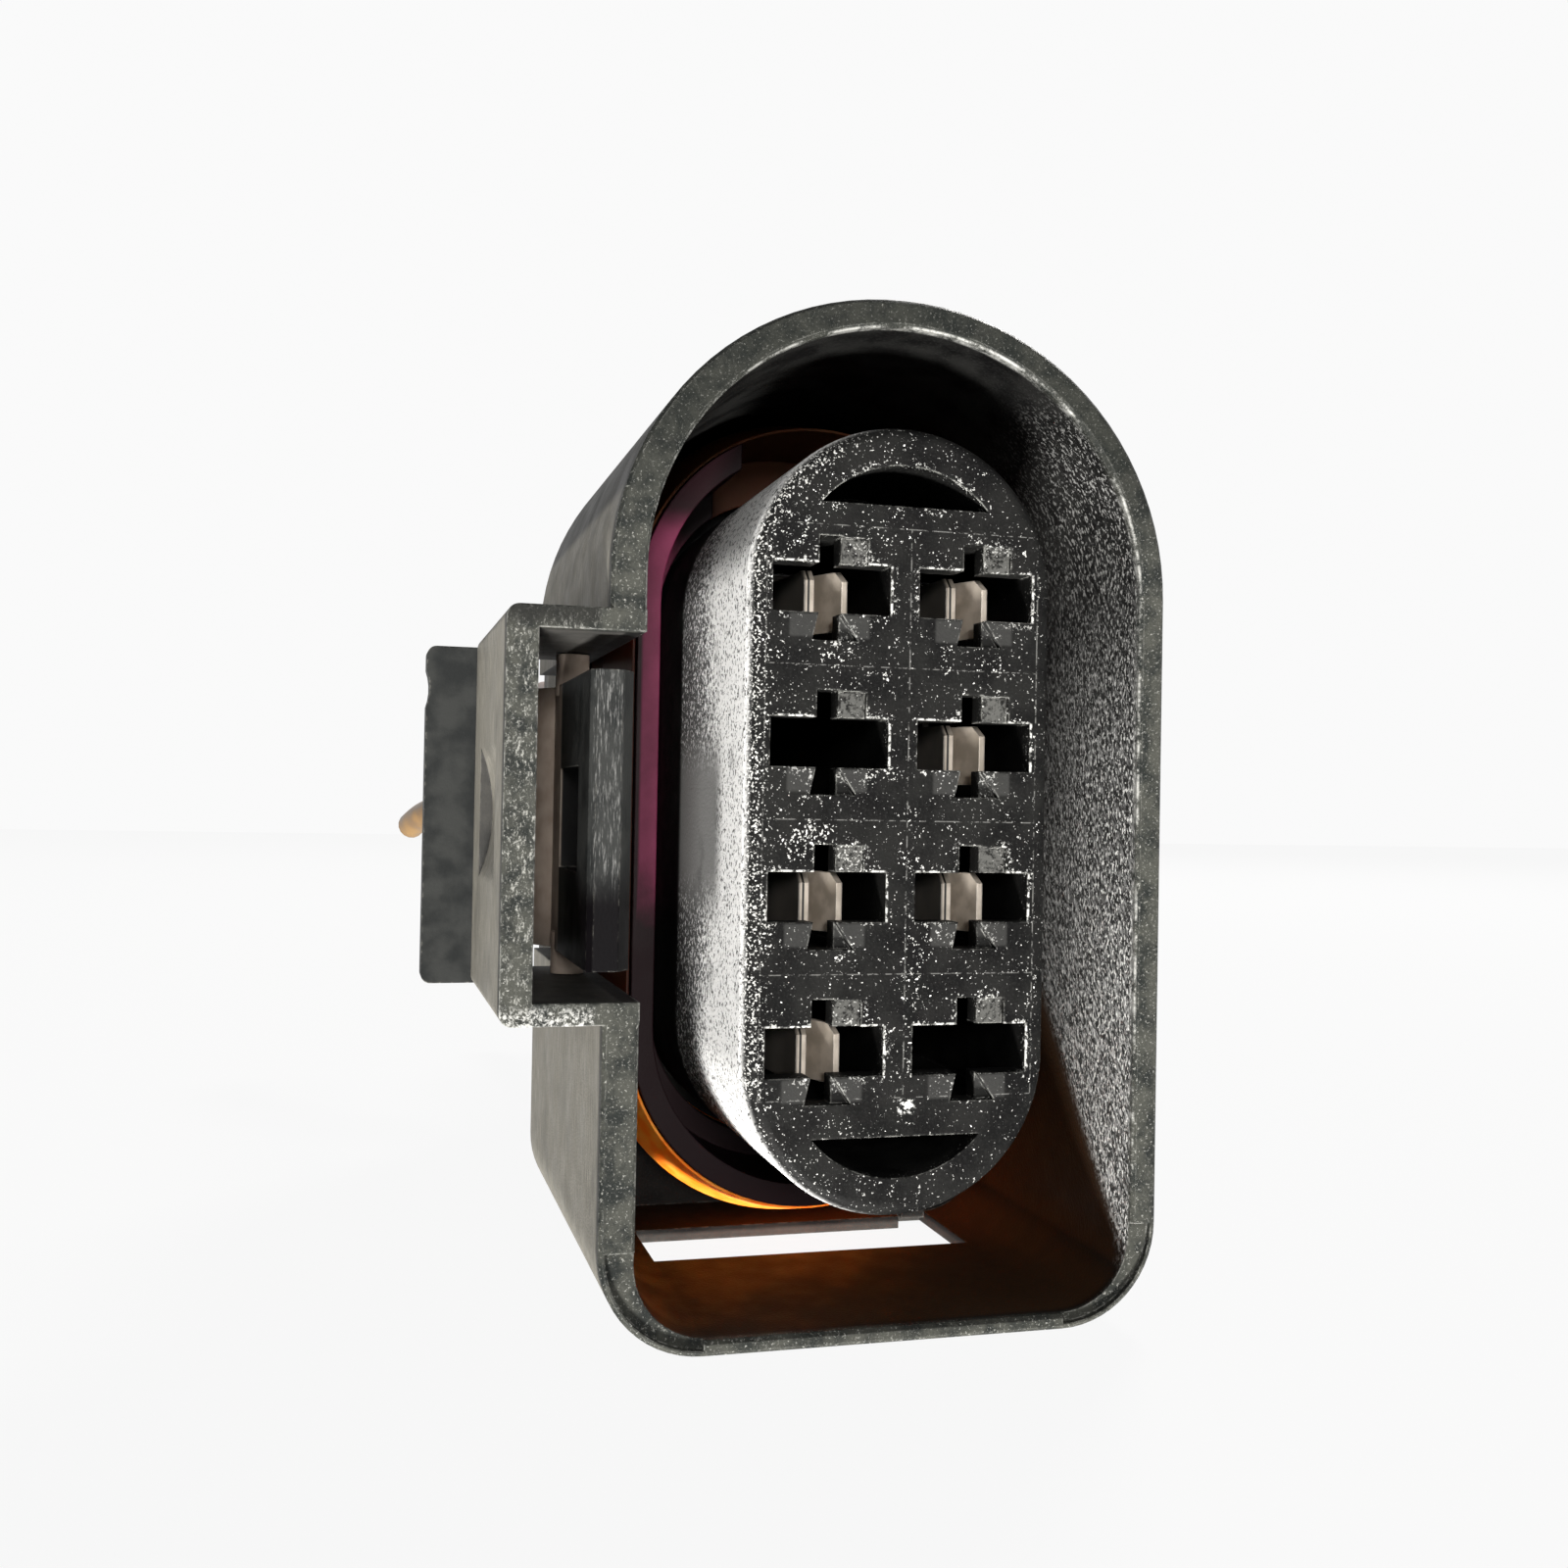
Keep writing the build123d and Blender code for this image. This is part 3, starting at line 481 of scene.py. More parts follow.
# %% Tones of the black moulding, painted light and shade among them
BLACK_SPECULAR = 0.07
TONES = {
    "deep black": (0.003, 0.003, 0.003),
    "black": (0.009, 0.009, 0.0085),
    "black grain": (0.016, 0.016, 0.0155),
    "thin dust": (0.026, 0.026, 0.025),
    "thick dust": (0.052, 0.050, 0.046),
    "rim dark": (0.014, 0.016, 0.015),
    "rim light": (0.050, 0.051, 0.044),
    "rim speck": (0.42, 0.42, 0.39),
    "rim top": (0.006, 0.007, 0.006),
    # painted highlight along the rim's inner edge
    "lip": (0.62, 0.62, 0.59),
    "fleck": (0.50, 0.50, 0.48),
    # painted glints on the tongue's face
    "glint": (0.80, 0.80, 0.78),
    "mark": (0.17, 0.17, 0.16),
    "foot": (0.055, 0.055, 0.053),
    "bright edge": (0.62, 0.62, 0.60),
    "hairline": (0.42, 0.42, 0.40),
    "gate": (0.6, 0.6, 0.58),
    # painted glare over a grain of wear on the tongue's left flank
    "flank dark": (0.10, 0.10, 0.10),
    "flank pale": (1.0, 1.0, 0.99),
    "flank calm": (0.24, 0.24, 0.235),
    # scratches on the right inner wall, brightened by painted light
    "rubbed wall": (0.52, 0.52, 0.51),
    "nick": (0.95, 0.95, 0.92),
    # painted warm brown shade below the wall's shadow line and on the inner floor
    "brown dark": (0.008, 0.006, 0.0035),
    "brown light": (0.036, 0.019, 0.010),
    # dust on the outer left wall, lightened into a painted grazing sheen
    "dust_and_sheen": (0.28, 0.265, 0.225),
    "chafe": (0.26, 0.26, 0.24),
    "guard top": (0.012, 0.012, 0.011),
    "scrape": (0.45, 0.45, 0.43),
    "edge wear": (0.30, 0.30, 0.28),
}
print(len(TONES), "tones of black, dust and wear")

# %% Regions of the housing
TONGUE_RADIUS = 5.25
TONGUE_CENTRE = 7.7
MOUTH_RADIUS = 8.55
MOUTH_CENTRE = 7.65
SHROUD_BACK = 19.4
BASE_OUTSIDE = -16.6
# painted light: depth where the painted glare on the tongue's flank ends, at the line of the
# wall's shadow
FLANK_SHADOW_LINE = 10.6
WALL_INSIDE = 8.2
WALL_OUTSIDE = -9.2
GUARD_LEFT = -9.9


def from_line(f, past_end):
    """Distance from an upright line in the middle: the root of x squared plus the square of
    how far the point lies past the line's end."""
    x = f.at[0]
    beyond = f.math("MAXIMUM", past_end, 0.0)
    return f.math("SQRT", f.math("ADD", f.times(x, x), f.times(beyond, beyond)))


class Regions:
    """Masks of the housing's regions: one on the region, none elsewhere."""

    def __init__(self, f):
        x, y, z = f.at
        face_x, face_y, face_z = f.facing
        from_mouth = from_line(f, f.math("SUBTRACT", z, MOUTH_CENTRE))
        from_tongue = from_line(f, f.math("SUBTRACT", f.math("ABSOLUTE", z), TONGUE_CENTRE))
        self.from_mouth = from_mouth
        self.from_tongue = from_tongue
        self.outer = f.most(
            f.step(from_mouth, MOUTH_RADIUS + 0.5, MOUTH_RADIUS + 0.65),
            f.step(y, SHROUD_BACK, SHROUD_BACK + 0.6),
            f.step(z, BASE_OUTSIDE, BASE_OUTSIDE - 0.2),
        )
        tongue = f.step(from_tongue, TONGUE_RADIUS + 0.3, TONGUE_RADIUS + 0.1)
        self.face = f.times(tongue, f.step(y, 0.7, 0.2))
        self.front = f.times(self.face, f.step(y, 0.05, 0.01))
        self.rim = f.times(f.step(y, 0.5, 0.2), f.math("SUBTRACT", 1.0, tongue))
        self.flank = f.times(
            tongue,
            f.step(from_tongue, TONGUE_RADIUS - 0.35, TONGUE_RADIUS - 0.2),
            f.step(face_x, -0.05, -0.6),
            f.step(y, FLANK_SHADOW_LINE, FLANK_SHADOW_LINE - 0.6),
            f.step(y, 0.1, 0.5),
        )
        self.right_wall = f.times(
            f.step(face_x, -0.5, -0.97),
            f.step(from_mouth, WALL_INSIDE, WALL_INSIDE + 0.2),
            f.step(x, 3.5, 6.5),
            f.step(y, 0.1, 0.5),
        )
        self.inner_floor = f.times(
            f.step(face_z, 0.3, 0.8), f.step(z, -13.5, -14.5), f.step(y, 0.3, 0.8)
        )
        self.outside_left = f.times(
            f.step(face_x, -0.25, -0.6),
            f.step(x, WALL_OUTSIDE, WALL_OUTSIDE - 0.2),
            f.step(y, 0.25, 0.9),
        )
        self.guard_front = f.times(f.step(x, GUARD_LEFT, GUARD_LEFT - 0.2), f.step(y, 0.3, 0.1))


print("regions ready")

# %% Ground and rim
def moulded_ground(f, on, cloud, grain):
    """Black with cloudy and fine unevenness, and dust on the outer walls."""
    colour = f.mix(f.step(cloud, 0.35, 0.65), TONES["deep black"], TONES["black"])
    colour = f.mix(f.step(grain, 0.48, 0.75, 0, 0.5), colour, TONES["black grain"])
    settled = f.step(f.noise(2.4, 6, 0.75, shift=(6, 6, 0)), 0.25, 0.75)
    dusty = f.mix(settled, TONES["thin dust"], TONES["thick dust"])
    return f.mix(f.times(on.outer, f.step(f.at[1], 0.2, 0.8)), colour, dusty)


def rim_tone_and_highlight(f, on, colour):
    """Greenish speckled rim, darker at its top, whose inner edge carries a broken painted
    highlight.
    """
    x, y, z = f.at
    patches = f.step(f.noise(1.0, 4, 0.65, shift=(7, 0, 7)), 0.35, 0.62)
    tone = f.mix(patches, TONES["rim dark"], TONES["rim light"])
    specks = f.step(f.noise(0.10, 4, 0.8, shift=(9, 1, 4)), 0.56, 0.68)
    tone = f.mix(f.times(specks, 0.8), tone, TONES["rim speck"])
    tone = f.mix(f.step(z, 8.0, 13.0, 0, 0.6), tone, TONES["rim top"])
    colour = f.mix(f.times(on.rim, 0.9), colour, tone)
    # painted highlight: a broken bright line along the rim's inner edge, brighter on the right
    lip = f.between(on.from_mouth, MOUTH_RADIUS, MOUTH_RADIUS + 0.05, 0.04)
    lip = f.times(lip, f.step(y, 0.5, 0.3), f.step(z, -12.5, -12.0))
    broken = f.step(f.noise(1.6, 8, 0.85, shift=(5, 2, 6)), 0.44, 0.60)
    lip = f.times(lip, broken, f.step(x, -8.0, 3.0, 0.4, 1.0))
    return f.mix(f.times(lip, 0.75), colour, TONES["lip"])


print("ground and rim ready")

# %% Flecks of dust and painted glints on the tongue's face
def face_dust_and_glints(f, on, colour):
    """White flecks of dust, thick in drifts, at broken edges and round the left of the face, with
    painted glints among them. Gives the colour and the mask of the flecks."""
    x, y, z = f.at
    blob = f.times(f.between(x, -4.2, -1.9, 0.5), f.between(z, -1.3, -0.1, 0.5))
    patches = f.math("ADD", f.noise(1.3, 4, 0.65, shift=(4, 0, 2)), f.times(blob, 0.12))
    drift = f.times(f.step(patches, 0.52, 0.64), f.step(x, 4.0, -4.0, 0.45, 1.0))
    drift = f.times(drift, f.step(z, 4.0, 8.0, 1.0, 0.6))
    broken = f.step(f.noise(0.9, 3, 0.6, shift=(0, 5, 1)), 0.45, 0.60)
    near_edge = f.times(f.edges(0.45, 0.0005, 0.05), broken)
    outline = f.step(on.from_tongue, TONGUE_RADIUS - 1.2, TONGUE_RADIUS - 0.1)
    thick = f.most(drift, near_edge, f.times(outline, f.step(x, 0, -3.5)))
    thick = f.times(thick, f.step(z, -9.6, -8.4, 0.35, 1.0))
    fleck = f.math("ADD", f.noise(0.085, 1.5, 0.6, shift=(1, 7, 3)), f.times(thick, 0.14))
    dust = f.times(on.face, f.step(fleck, 0.68, 0.76))
    colour = f.mix(f.times(dust, 0.85), colour, TONES["fleck"])
    # painted glints: bright points over the face, most where the dust is thick
    glint = f.math("ADD", f.noise(0.13, 1.5, 0.6, shift=(8, 2, 5)), f.times(thick, 0.07))
    colour = f.mix(f.times(on.face, f.step(glint, 0.735, 0.77)), colour, TONES["glint"])
    return colour, dust


print("face dust ready")

# %% Marks at the cavities, and the mould's hairlines
INSERT_X = (-4.7, 4.7, 0.2)
INSERT_Z = (-9.03, -5.0, 0.0, 5.0, 9.56)


def insert_hairlines(f):
    """Fine lines where the mould's inserts meet on the tongue's face."""
    x, y, z = f.at
    width = f.between(x, INSERT_X[0], INSERT_X[1], 0.02)
    height = f.between(z, INSERT_Z[0], INSERT_Z[-1], 0.02)
    lines = [f.times(f.between(x, place, place, 0.035), height) for place in INSERT_X]
    lines += [f.times(f.between(z, place, place, 0.03), width) for place in INSERT_Z]
    return f.most(*lines)


def cavity_marks(f, on, colour):
    """Rubbed marks, flared feet and broken bright edges at each cavity, repeated by pitch."""
    x, y, z = f.at
    across = f.repeated(x, COLUMN_X[0], CAVITY_PITCH)
    beside = f.math("ABSOLUTE", across)
    upward = f.repeated(z, ROW_Z[1], CAVITY_PITCH)
    rows = f.times(f.between(z, -9.2, 9.5, 0.05), f.between(x, -4.8, 4.8, 0.05))
    mark = f.times(f.between(across, 0.42, 1.26, 0.05), f.between(upward, 0.84, 1.62, 0.05))
    rubbed = f.step(f.noise(0.16, 3, 0.7, shift=(6, 1, 1)), 0.36, 0.56)
    colour = f.mix(f.times(on.face, rows, mark, rubbed, 0.4), colour, TONES["mark"])
    foot = f.times(f.between(beside, 0.4, 1.35, 0.06), f.between(upward, -1.6, -0.86, 0.06))
    colour = f.mix(f.times(on.face, rows, foot, 0.4), colour, TONES["foot"])
    broken = f.step(f.noise(0.3, 3, 0.7, shift=(2, 9, 4)), 0.46, 0.56)
    right_edge = f.times(f.between(across, 2.06, 2.14, 0.03), f.between(upward, -0.8, 0.8, 0.05))
    top_edge = f.times(f.between(upward, 0.81, 0.87, 0.03), f.between(across, -1.9, 2.0, 0.1))
    mark_edge = f.times(f.between(upward, 1.60, 1.66, 0.03), f.between(across, -0.4, 1.0, 0.05))
    bright = f.times(on.front, rows, f.most(right_edge, top_edge, mark_edge), broken, 0.85)
    colour = f.mix(bright, colour, TONES["bright edge"])
    colour = f.mix(f.times(on.front, insert_hairlines(f), broken), colour, TONES["hairline"])
    gate = f.times(f.between(x, 0.05, 0.6, 0.06), f.between(z, -9.55, -9.1, 0.06))
    return f.mix(f.times(on.front, gate, broken), colour, TONES["gate"])


print("cavity marks ready")

# %% Flank wear with painted glare, and scratched wall with painted light and shade
def flank_wear_and_glare(f, on, colour):
    """Pale grain of wear on the tongue's left flank under a painted glare that thins towards the
    root, with a smooth band of painted light in the middle of its height where light comes through
    the latch window."""
    x, y, z = f.at
    # patches of wear, which also vary the painted glare
    worn = f.step(f.noise(2.2, 4, 0.6, shift=(0, 3, 9)), 0.26, 0.5)
    # painted light: a band lit through the latch window
    window_light_band = f.times(f.between(z, -3.0, 2.4, 1.3), f.step(y, 2.9, 4.6))
    inwards = f.math("SUBTRACT", y, f.times(f.math("ABSOLUTE", z), 0.25))
    # painted glare thins deeper in
    thinner = f.step(inwards, 2.5, 6.5, -0.05, 0.12)
    grains = f.math("SUBTRACT", f.noise(0.15, 2, 0.7, shift=(5, 5, 5)), thinner)
    tone = f.mix(f.step(grains, 0.42, 0.51), TONES["flank dark"], TONES["flank pale"])
    tone = f.mix(window_light_band, tone, TONES["flank calm"])
    return f.mix(f.times(on.flank, f.step(worn, 0, 1, 0.7, 1.0)), colour, tone)


def wall_scratches_and_shade(f, on, colour, slant):
    """Slanting scratches and white nicks on the right inner wall, dense at its edge and low down.
    Their brightness is partly painted light: it fades deeper in and higher up and stops at the
    line of the key lamp's shadow, and below that line the wall and the inner floor get a painted
    warm brown shade. Gives the colour and the mask of the scratches."""
    x, y, z = f.at
    # painted light: the line of the key lamp's shadow across the right inner wall
    high = f.step(f.math("SUBTRACT", z, f.times(y, 1.2)), -16.4, -14.8)
    lit_reach = f.times(high, f.step(y, 16.0, 12.0), f.step(y, 9.5, 1.2, 0.3, 1.0))
    rub = f.times(on.right_wall, lit_reach, f.step(slant, 0.46, 0.64, 0.06, 1.0))
    # painted light: scratches brighter low down and fainter high up
    strength = f.times(f.step(z, -9.0, 0.0, 1.0, 0.5), f.step(z, 2.0, 10.5, 1.0, 0.06))
    colour = f.mix(f.times(rub, strength), colour, TONES["rubbed wall"])
    nick = f.step(f.noise(0.12, 2, 0.65, stretch=(1, 1, 0.6), shift=(2, 2, 8)), 0.55, 0.62)
    nick = f.times(on.right_wall, lit_reach, nick, f.step(z, -3.0, 10.0, 1.0, 0.3))
    colour = f.mix(f.times(nick, f.step(y, 9.0, 0.5, 0.4, 1.0)), colour, TONES["nick"])
    # painted shade: warm brown below the shadow line and on the inner floor
    low = f.times(on.right_wall, f.math("SUBTRACT", 1.0, high))
    brown = f.mix(f.step(x, -6.0, 4.0), TONES["brown dark"], TONES["brown light"])
    return f.mix(f.times(f.most(low, on.inner_floor), 0.95), colour, brown), rub


print("flank and wall ready")

# %% Dusty left wall with painted sheen, and chafed guard
def left_dust_and_sheen(f, on, colour):
    """Upright streaks of dust on the left wall, lightened into a painted grazing sheen, and
    scratches on the front of the guard.
    """
    z = f.at[2]
    streak = f.step(f.noise(0.10, 3, 0.7, stretch=(1.0, 1.0, 0.09)), 0.40, 0.66, 0.55, 1.0)
    # dust on the outer left wall with a painted grazing sheen
    dust_and_sheen = f.times(streak, f.step(f.noise(2.5, 2), 0.30, 0.55, 0.75, 1.0))
    colour = f.mix(f.times(on.outside_left, dust_and_sheen), colour, TONES["dust_and_sheen"])
    chafe = f.noise(0.14, 5, 0.85, stretch=(1.0, 1.0, 0.45), shift=(3, 3, 0))
    colour = f.mix(f.times(on.guard_front, f.step(chafe, 0.54, 0.66)), colour, TONES["chafe"])
    top = f.times(on.guard_front, f.step(z, 5.6, 6.2, 0, 0.8))
    colour = f.mix(top, colour, TONES["guard top"])
    scrape = f.step(f.noise(0.16, 3, 0.75, shift=(1, 8, 8)), 0.46, 0.60)
    scrape = f.times(on.guard_front, f.step(z, -5.8, -6.2), scrape)
    return f.mix(f.times(scrape, 0.85), colour, TONES["scrape"])


print("left wall and guard ready")

# %% The whole black finish
def black_housing():
    """Layers by region from the ground up to the worn edges, over one cloud and one grain."""
    f = Finish("black_glass_filled_plastic")
    on = Regions(f)
    cloud = f.noise(1.6, 4)
    grain = f.noise(0.10, 2, 0.6)
    slant = f.noise(0.15, 3, 0.75, stretch=(1.0, 1.0, 0.30), shift=(0, 1, 0), warp=0.8, turn=0.6)
    colour = moulded_ground(f, on, cloud, grain)
    colour = rim_tone_and_highlight(f, on, colour)
    colour, dust = face_dust_and_glints(f, on, colour)
    colour = cavity_marks(f, on, colour)
    colour = flank_wear_and_glare(f, on, colour)
    colour, rub = wall_scratches_and_shade(f, on, colour, slant)
    colour = left_dust_and_sheen(f, on, colour)
    broken = f.step(f.noise(0.35, 4, 0.7, shift=(3, 1, 6)), 0.42, 0.60)
    wear = f.times(f.edges(0.12, 0.03, 0.30), broken, f.step(f.at[1], 4.0, 1.0, 0.25, 0.8))
    colour = f.mix(wear, colour, TONES["edge wear"])
    dry = f.times(f.most(dust, on.flank, rub), 0.3)
    rough = f.math("ADD", f.step(cloud, 0.3, 0.7, 0.48, 0.62), dry)
    scratched = f.math("ADD", grain, f.times(on.right_wall, slant, 1.5))
    normal = f.relief(scratched, 0.020, 0.8, rounding=0.11)
    return f.done(colour, rough, normal, Specular_IOR_Level=BLACK_SPECULAR)


black = black_housing()

# %% [markdown]
# ## Finishes that need only two tones
# The spring steel, the silicone of the wire seals and plugs, the bare copper and the leads'
# insulation hardly show. Each is a cloudy mix of two tones with a fine grain over softly
# rounded edges. Silicone lets a little light in. A flat colour would be quicker, but close up
# it looks like paint.

# %% Mottled finishes of the small pieces
SILICONE = {"Subsurface_Weight": 0.2, "Subsurface_Scale": 0.5 * MM}


def mottled(f, size, dark, light):
    """Cloudy mix of two tones, with patches of the given size. Gives the colour and the cloud."""
    cloud = f.noise(size, 4)
    return f.mix(f.step(cloud, 0.35, 0.65), dark, light), cloud


def moulded_grain(f, depth, rounding=0.08):
    """Bump of a fine even grain over rounded edges."""
    return f.relief(f.noise(0.09, 3, 0.6), depth, 0.7, rounding)


def plain(name, dark, light, size, rough, depth, **fixed):
    """Mottled finish with a fine grain, slightly rougher where the cloud is thick."""
    f = Finish(name)
    colour, cloud = mottled(f, size, dark, light)
    roughness = f.step(cloud, 0.3, 0.7, rough, rough + 0.12)
    return f.done(colour, roughness, moulded_grain(f, depth), **fixed)


steel = plain(
    "spring_steel", (0.40, 0.40, 0.39), (0.60, 0.60, 0.58), 0.7, 0.28, 0.004, Metallic=0.95
)
copper = plain(
    "bare_copper", (0.62, 0.27, 0.13), (0.80, 0.42, 0.22), 0.3, 0.25, 0.003, Metallic=1.0
)
seal_silicone = plain(
    "wire_seal_silicone", (0.30, 0.045, 0.02), (0.42, 0.08, 0.035), 0.8, 0.42, 0.008, **SILICONE
)
plug_silicone = plain(
    "cavity_plug_silicone", (0.50, 0.49, 0.46), (0.66, 0.65, 0.61), 0.8, 0.45, 0.008, **SILICONE
)

# %% Insulation of the leads
INSULATION_TONES = {
    "tan": ((0.115, 0.060, 0.014), (0.18, 0.098, 0.024), 0.33),
    "brown": ((0.10, 0.04, 0.018), (0.16, 0.07, 0.03), 0.33),
    "black": ((0.016, 0.016, 0.017), (0.028, 0.028, 0.030), 0.36),
}
INSULATION = {}
for tone, (dark, light, rough) in INSULATION_TONES.items():
    finish = plain(f"{tone}_insulation", dark, light, 1.5, rough, 0.006)
    INSULATION[f"insulation_{tone}"] = finish

# %% [markdown]
# ## Lever
# The lever is the same black plastic as the housing. Its hook is scratched by the headers that it
# has caught, and its beam and pad are worn along their edges. A pale brown painted light lies on
# its bend where the guard covers it, and painted shade darkens its slot and the hook's lower end.
# It has a finish of its own, because the housing's masks are limits in space that would also catch
# the lever.

# %% Handled black lever
def lever_plastic():
    """Black plastic scratched on the hook's front, with a pale brown painted light on the bend
    inside the guard and painted shade in the slot and at the hook's lower end.
    """
    f = Finish("handled_black_plastic")
    x, y, z = f.at
    colour, cloud = mottled(f, 1.2, (0.011, 0.012, 0.012), (0.025, 0.026, 0.025))
    # painted light: pale brown on the lever's bend inside the guard
    brown = f.mix(f.step(f.noise(1.5, 3), 0.35, 0.65), (0.30, 0.235, 0.19), (0.44, 0.36, 0.30))
    guarded = f.times(f.step(x, -11.9, -11.7), f.step(y, 7.2, 7.6))
    colour = f.mix(f.times(guarded, f.step(z, -5.0, -3.0, 0.5, 1.0)), colour, brown)
    # painted shade on the walls of the slot
    in_slot = f.times(f.between(y, 2.9, 7.55, 0.03), f.between(z, -1.93, 1.67, 0.03))
    colour = f.mix(f.times(in_slot, f.step(x, -10.2, -10.1)), colour, (0.001, 0.001, 0.001))
    inner = f.step(x, -11.0, -10.5)
    scratch = f.step(f.noise(0.06, 3, 0.75, stretch=(1, 1, 0.10), shift=(1, 1, 0)), 0.50, 0.72)
    scratch = f.times(scratch, inner, f.step(y, 0.55, 0.45), f.step(z, -4.0, -0.5, 0.1, 1.0))
    colour = f.mix(f.times(scratch, 0.7), colour, (0.20, 0.20, 0.195))
    # painted shade at the hook's lower end
    painted_hook_shade = f.times(inner, f.step(y, 6.0, 5.0), f.step(z, -1.3, -2.9))
    colour = f.mix(painted_hook_shade, colour, (0.001, 0.0006, 0.001))
    wear = f.times(f.edges(0.12, 0.03, 0.3), f.step(f.noise(0.3, 4, 0.7), 0.48, 0.64))
    colour = f.mix(f.times(wear, 0.6), colour, (0.26, 0.25, 0.22))
    rough = f.step(cloud, 0.3, 0.7, 0.46, 0.58)
    return f.done(colour, rough, moulded_grain(f, 0.012), Specular_IOR_Level=BLACK_SPECULAR)


lever_black = lever_plastic()

# %% [markdown]
# ## Lock and seal
# The lock is satin violet plastic, and shows its violet only in the upper half of the gap. Painted
# shade turns the rest nearly black. The seal is orange silicone, bright where the light comes
# through the base slot, with painted shade in dark red and brown elsewhere. The painted shade is a
# darker tone laid over the clean one by height, where the lamps' own shade alone would leave the
# colour too clean.

# %% Violet lock and orange seal
def lock_plastic():
    """Violet plastic with painted shade that makes it nearly black below, at its top and on its
    outer left side.
    """
    f = Finish("violet_lock_plastic")
    x, y, z = f.at
    colour, cloud = mottled(f, 2.0, (0.11, 0.013, 0.040), (0.17, 0.028, 0.068))
    # painted shade: below, at the top and on the outer left side
    painted_shade = f.step(f.math("ADD", z, f.times(cloud, 3.0)), -0.5, -3.0)
    painted_shade = f.most(painted_shade, f.step(z, 10.4, 11.8), f.step(x, -6.8, -6.95))
    colour = f.mix(f.times(painted_shade, 0.98), colour, (0.006, 0.0007, 0.0015))
    rough = f.step(cloud, 0.3, 0.7, 0.42, 0.54)
    return f.done(colour, rough, moulded_grain(f, 0.008), Specular_IOR_Level=0.15)


def orange_silicone():
    """Orange rubber, clean low down, with painted shade in dark red above and brown at its top."""
    f = Finish("orange_silicone")
    z = f.at[2]
    colour, cloud = mottled(f, 0.9, (1.0, 0.20, 0.008), (1.0, 0.32, 0.04))
    # painted shade: dark red above, brown at the top
    painted_shade_tone = f.mix(f.step(z, 8.0, 11.0), (0.010, 0.001, 0.002), (0.060, 0.017, 0.004))
    colour = f.mix(f.times(f.step(z, -10.2, -9.4), 0.97), colour, painted_shade_tone)
    return f.done(colour, 0.5, moulded_grain(f, 0.010), Specular_IOR_Level=0.2, **SILICONE)


violet = lock_plastic()
orange = orange_silicone()

# %% [markdown]
# ## Contacts
# The receptacles are tin-plated bronze: dull and beige where the spring arms show, with painted
# shade on the left arm, in the gap beside it and further in, and a painted highlight on the rubbed
# front edges of the other arms. Real plating this worn is hardly a mirror, so it is only partly
# metallic and takes its tone from the colour.

# %% Tin-plated contacts
def plated_bronze():
    """Beige plating with painted shade on the left arm, in the gap beside it and deep inside, and
    rubbed edges near the front brightened by a painted highlight.
    """
    f = Finish("tin_plated_bronze")
    x, y, z = f.at
    across = f.repeated(x, COLUMN_X[0], CAVITY_PITCH)
    left = f.step(across, -0.46, -0.52)
    colour, cloud = mottled(f, 0.7, (0.42, 0.365, 0.30), (0.60, 0.53, 0.45))
    # painted shade on the left arm
    colour = f.mix(f.times(left, 0.8), colour, (0.09, 0.085, 0.08))
    # painted shade: a dark line in the gap beside the left arm
    colour = f.mix(f.between(across, -0.43, -0.35, 0.02), colour, (0.01, 0.01, 0.01))
    # rubbed edges near the front of the lit arms, brightened by a painted highlight
    rubbed = f.times(f.edges(0.07, 0.06, 0.35), f.step(y, 3.0, 1.6), f.step(left, 1, 0))
    colour = f.mix(f.times(rubbed, 0.8), colour, (0.85, 0.82, 0.76))
    # painted shade deep inside the cavity
    colour = f.mix(f.times(f.step(y, 3.4, 5.0), 0.85), colour, (0.06, 0.055, 0.05))
    rough = f.step(cloud, 0.3, 0.7, 0.40, 0.5)
    return f.done(colour, rough, moulded_grain(f, 0.006, rounding=0.06), Metallic=0.4)


tin = plated_bronze()

# %% [markdown]
# ## Dressing the moulded pieces
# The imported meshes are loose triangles, so each shown node is copied, its points are merged, and
# its faces are shaded smooth up to a real edge. The copy stands for the node and stays exactly
# where it is. Flat faces keep their weight in the shading, so that they stay flat beside a
# small rounding.

# %% One dressed copy of each rigid node
NODE_WELD = 2e-6
NODE_CREASE = np.radians(28)


def dress(node, name, material):
    """Merged, smoothly shaded copy of a node that stands for it."""
    source = frame["nodes"][node]
    mesh = source.data.copy()
    mesh.name = name
    mesh.materials.clear()
    piece = bpy.data.objects.new(name, mesh)
    bpy.context.scene.collection.objects.link(piece)
    if mesh.has_custom_normals:
        chosen = {"object": piece, "active_object": piece, "selected_objects": [piece]}
        with bpy.context.temp_override(**chosen):
            bpy.ops.mesh.customdata_custom_splitnormals_clear()
    tidy_mesh(mesh, NODE_WELD)
    mesh.shade_smooth()
    mesh.set_sharp_from_angle(angle=NODE_CREASE)
    weighted = piece.modifiers.new("flat_faces_stay_flat", "WEIGHTED_NORMAL")
    weighted.keep_sharp = True
    mesh.materials.append(material)
    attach(piece, source["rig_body"])
    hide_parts(node)
    return piece


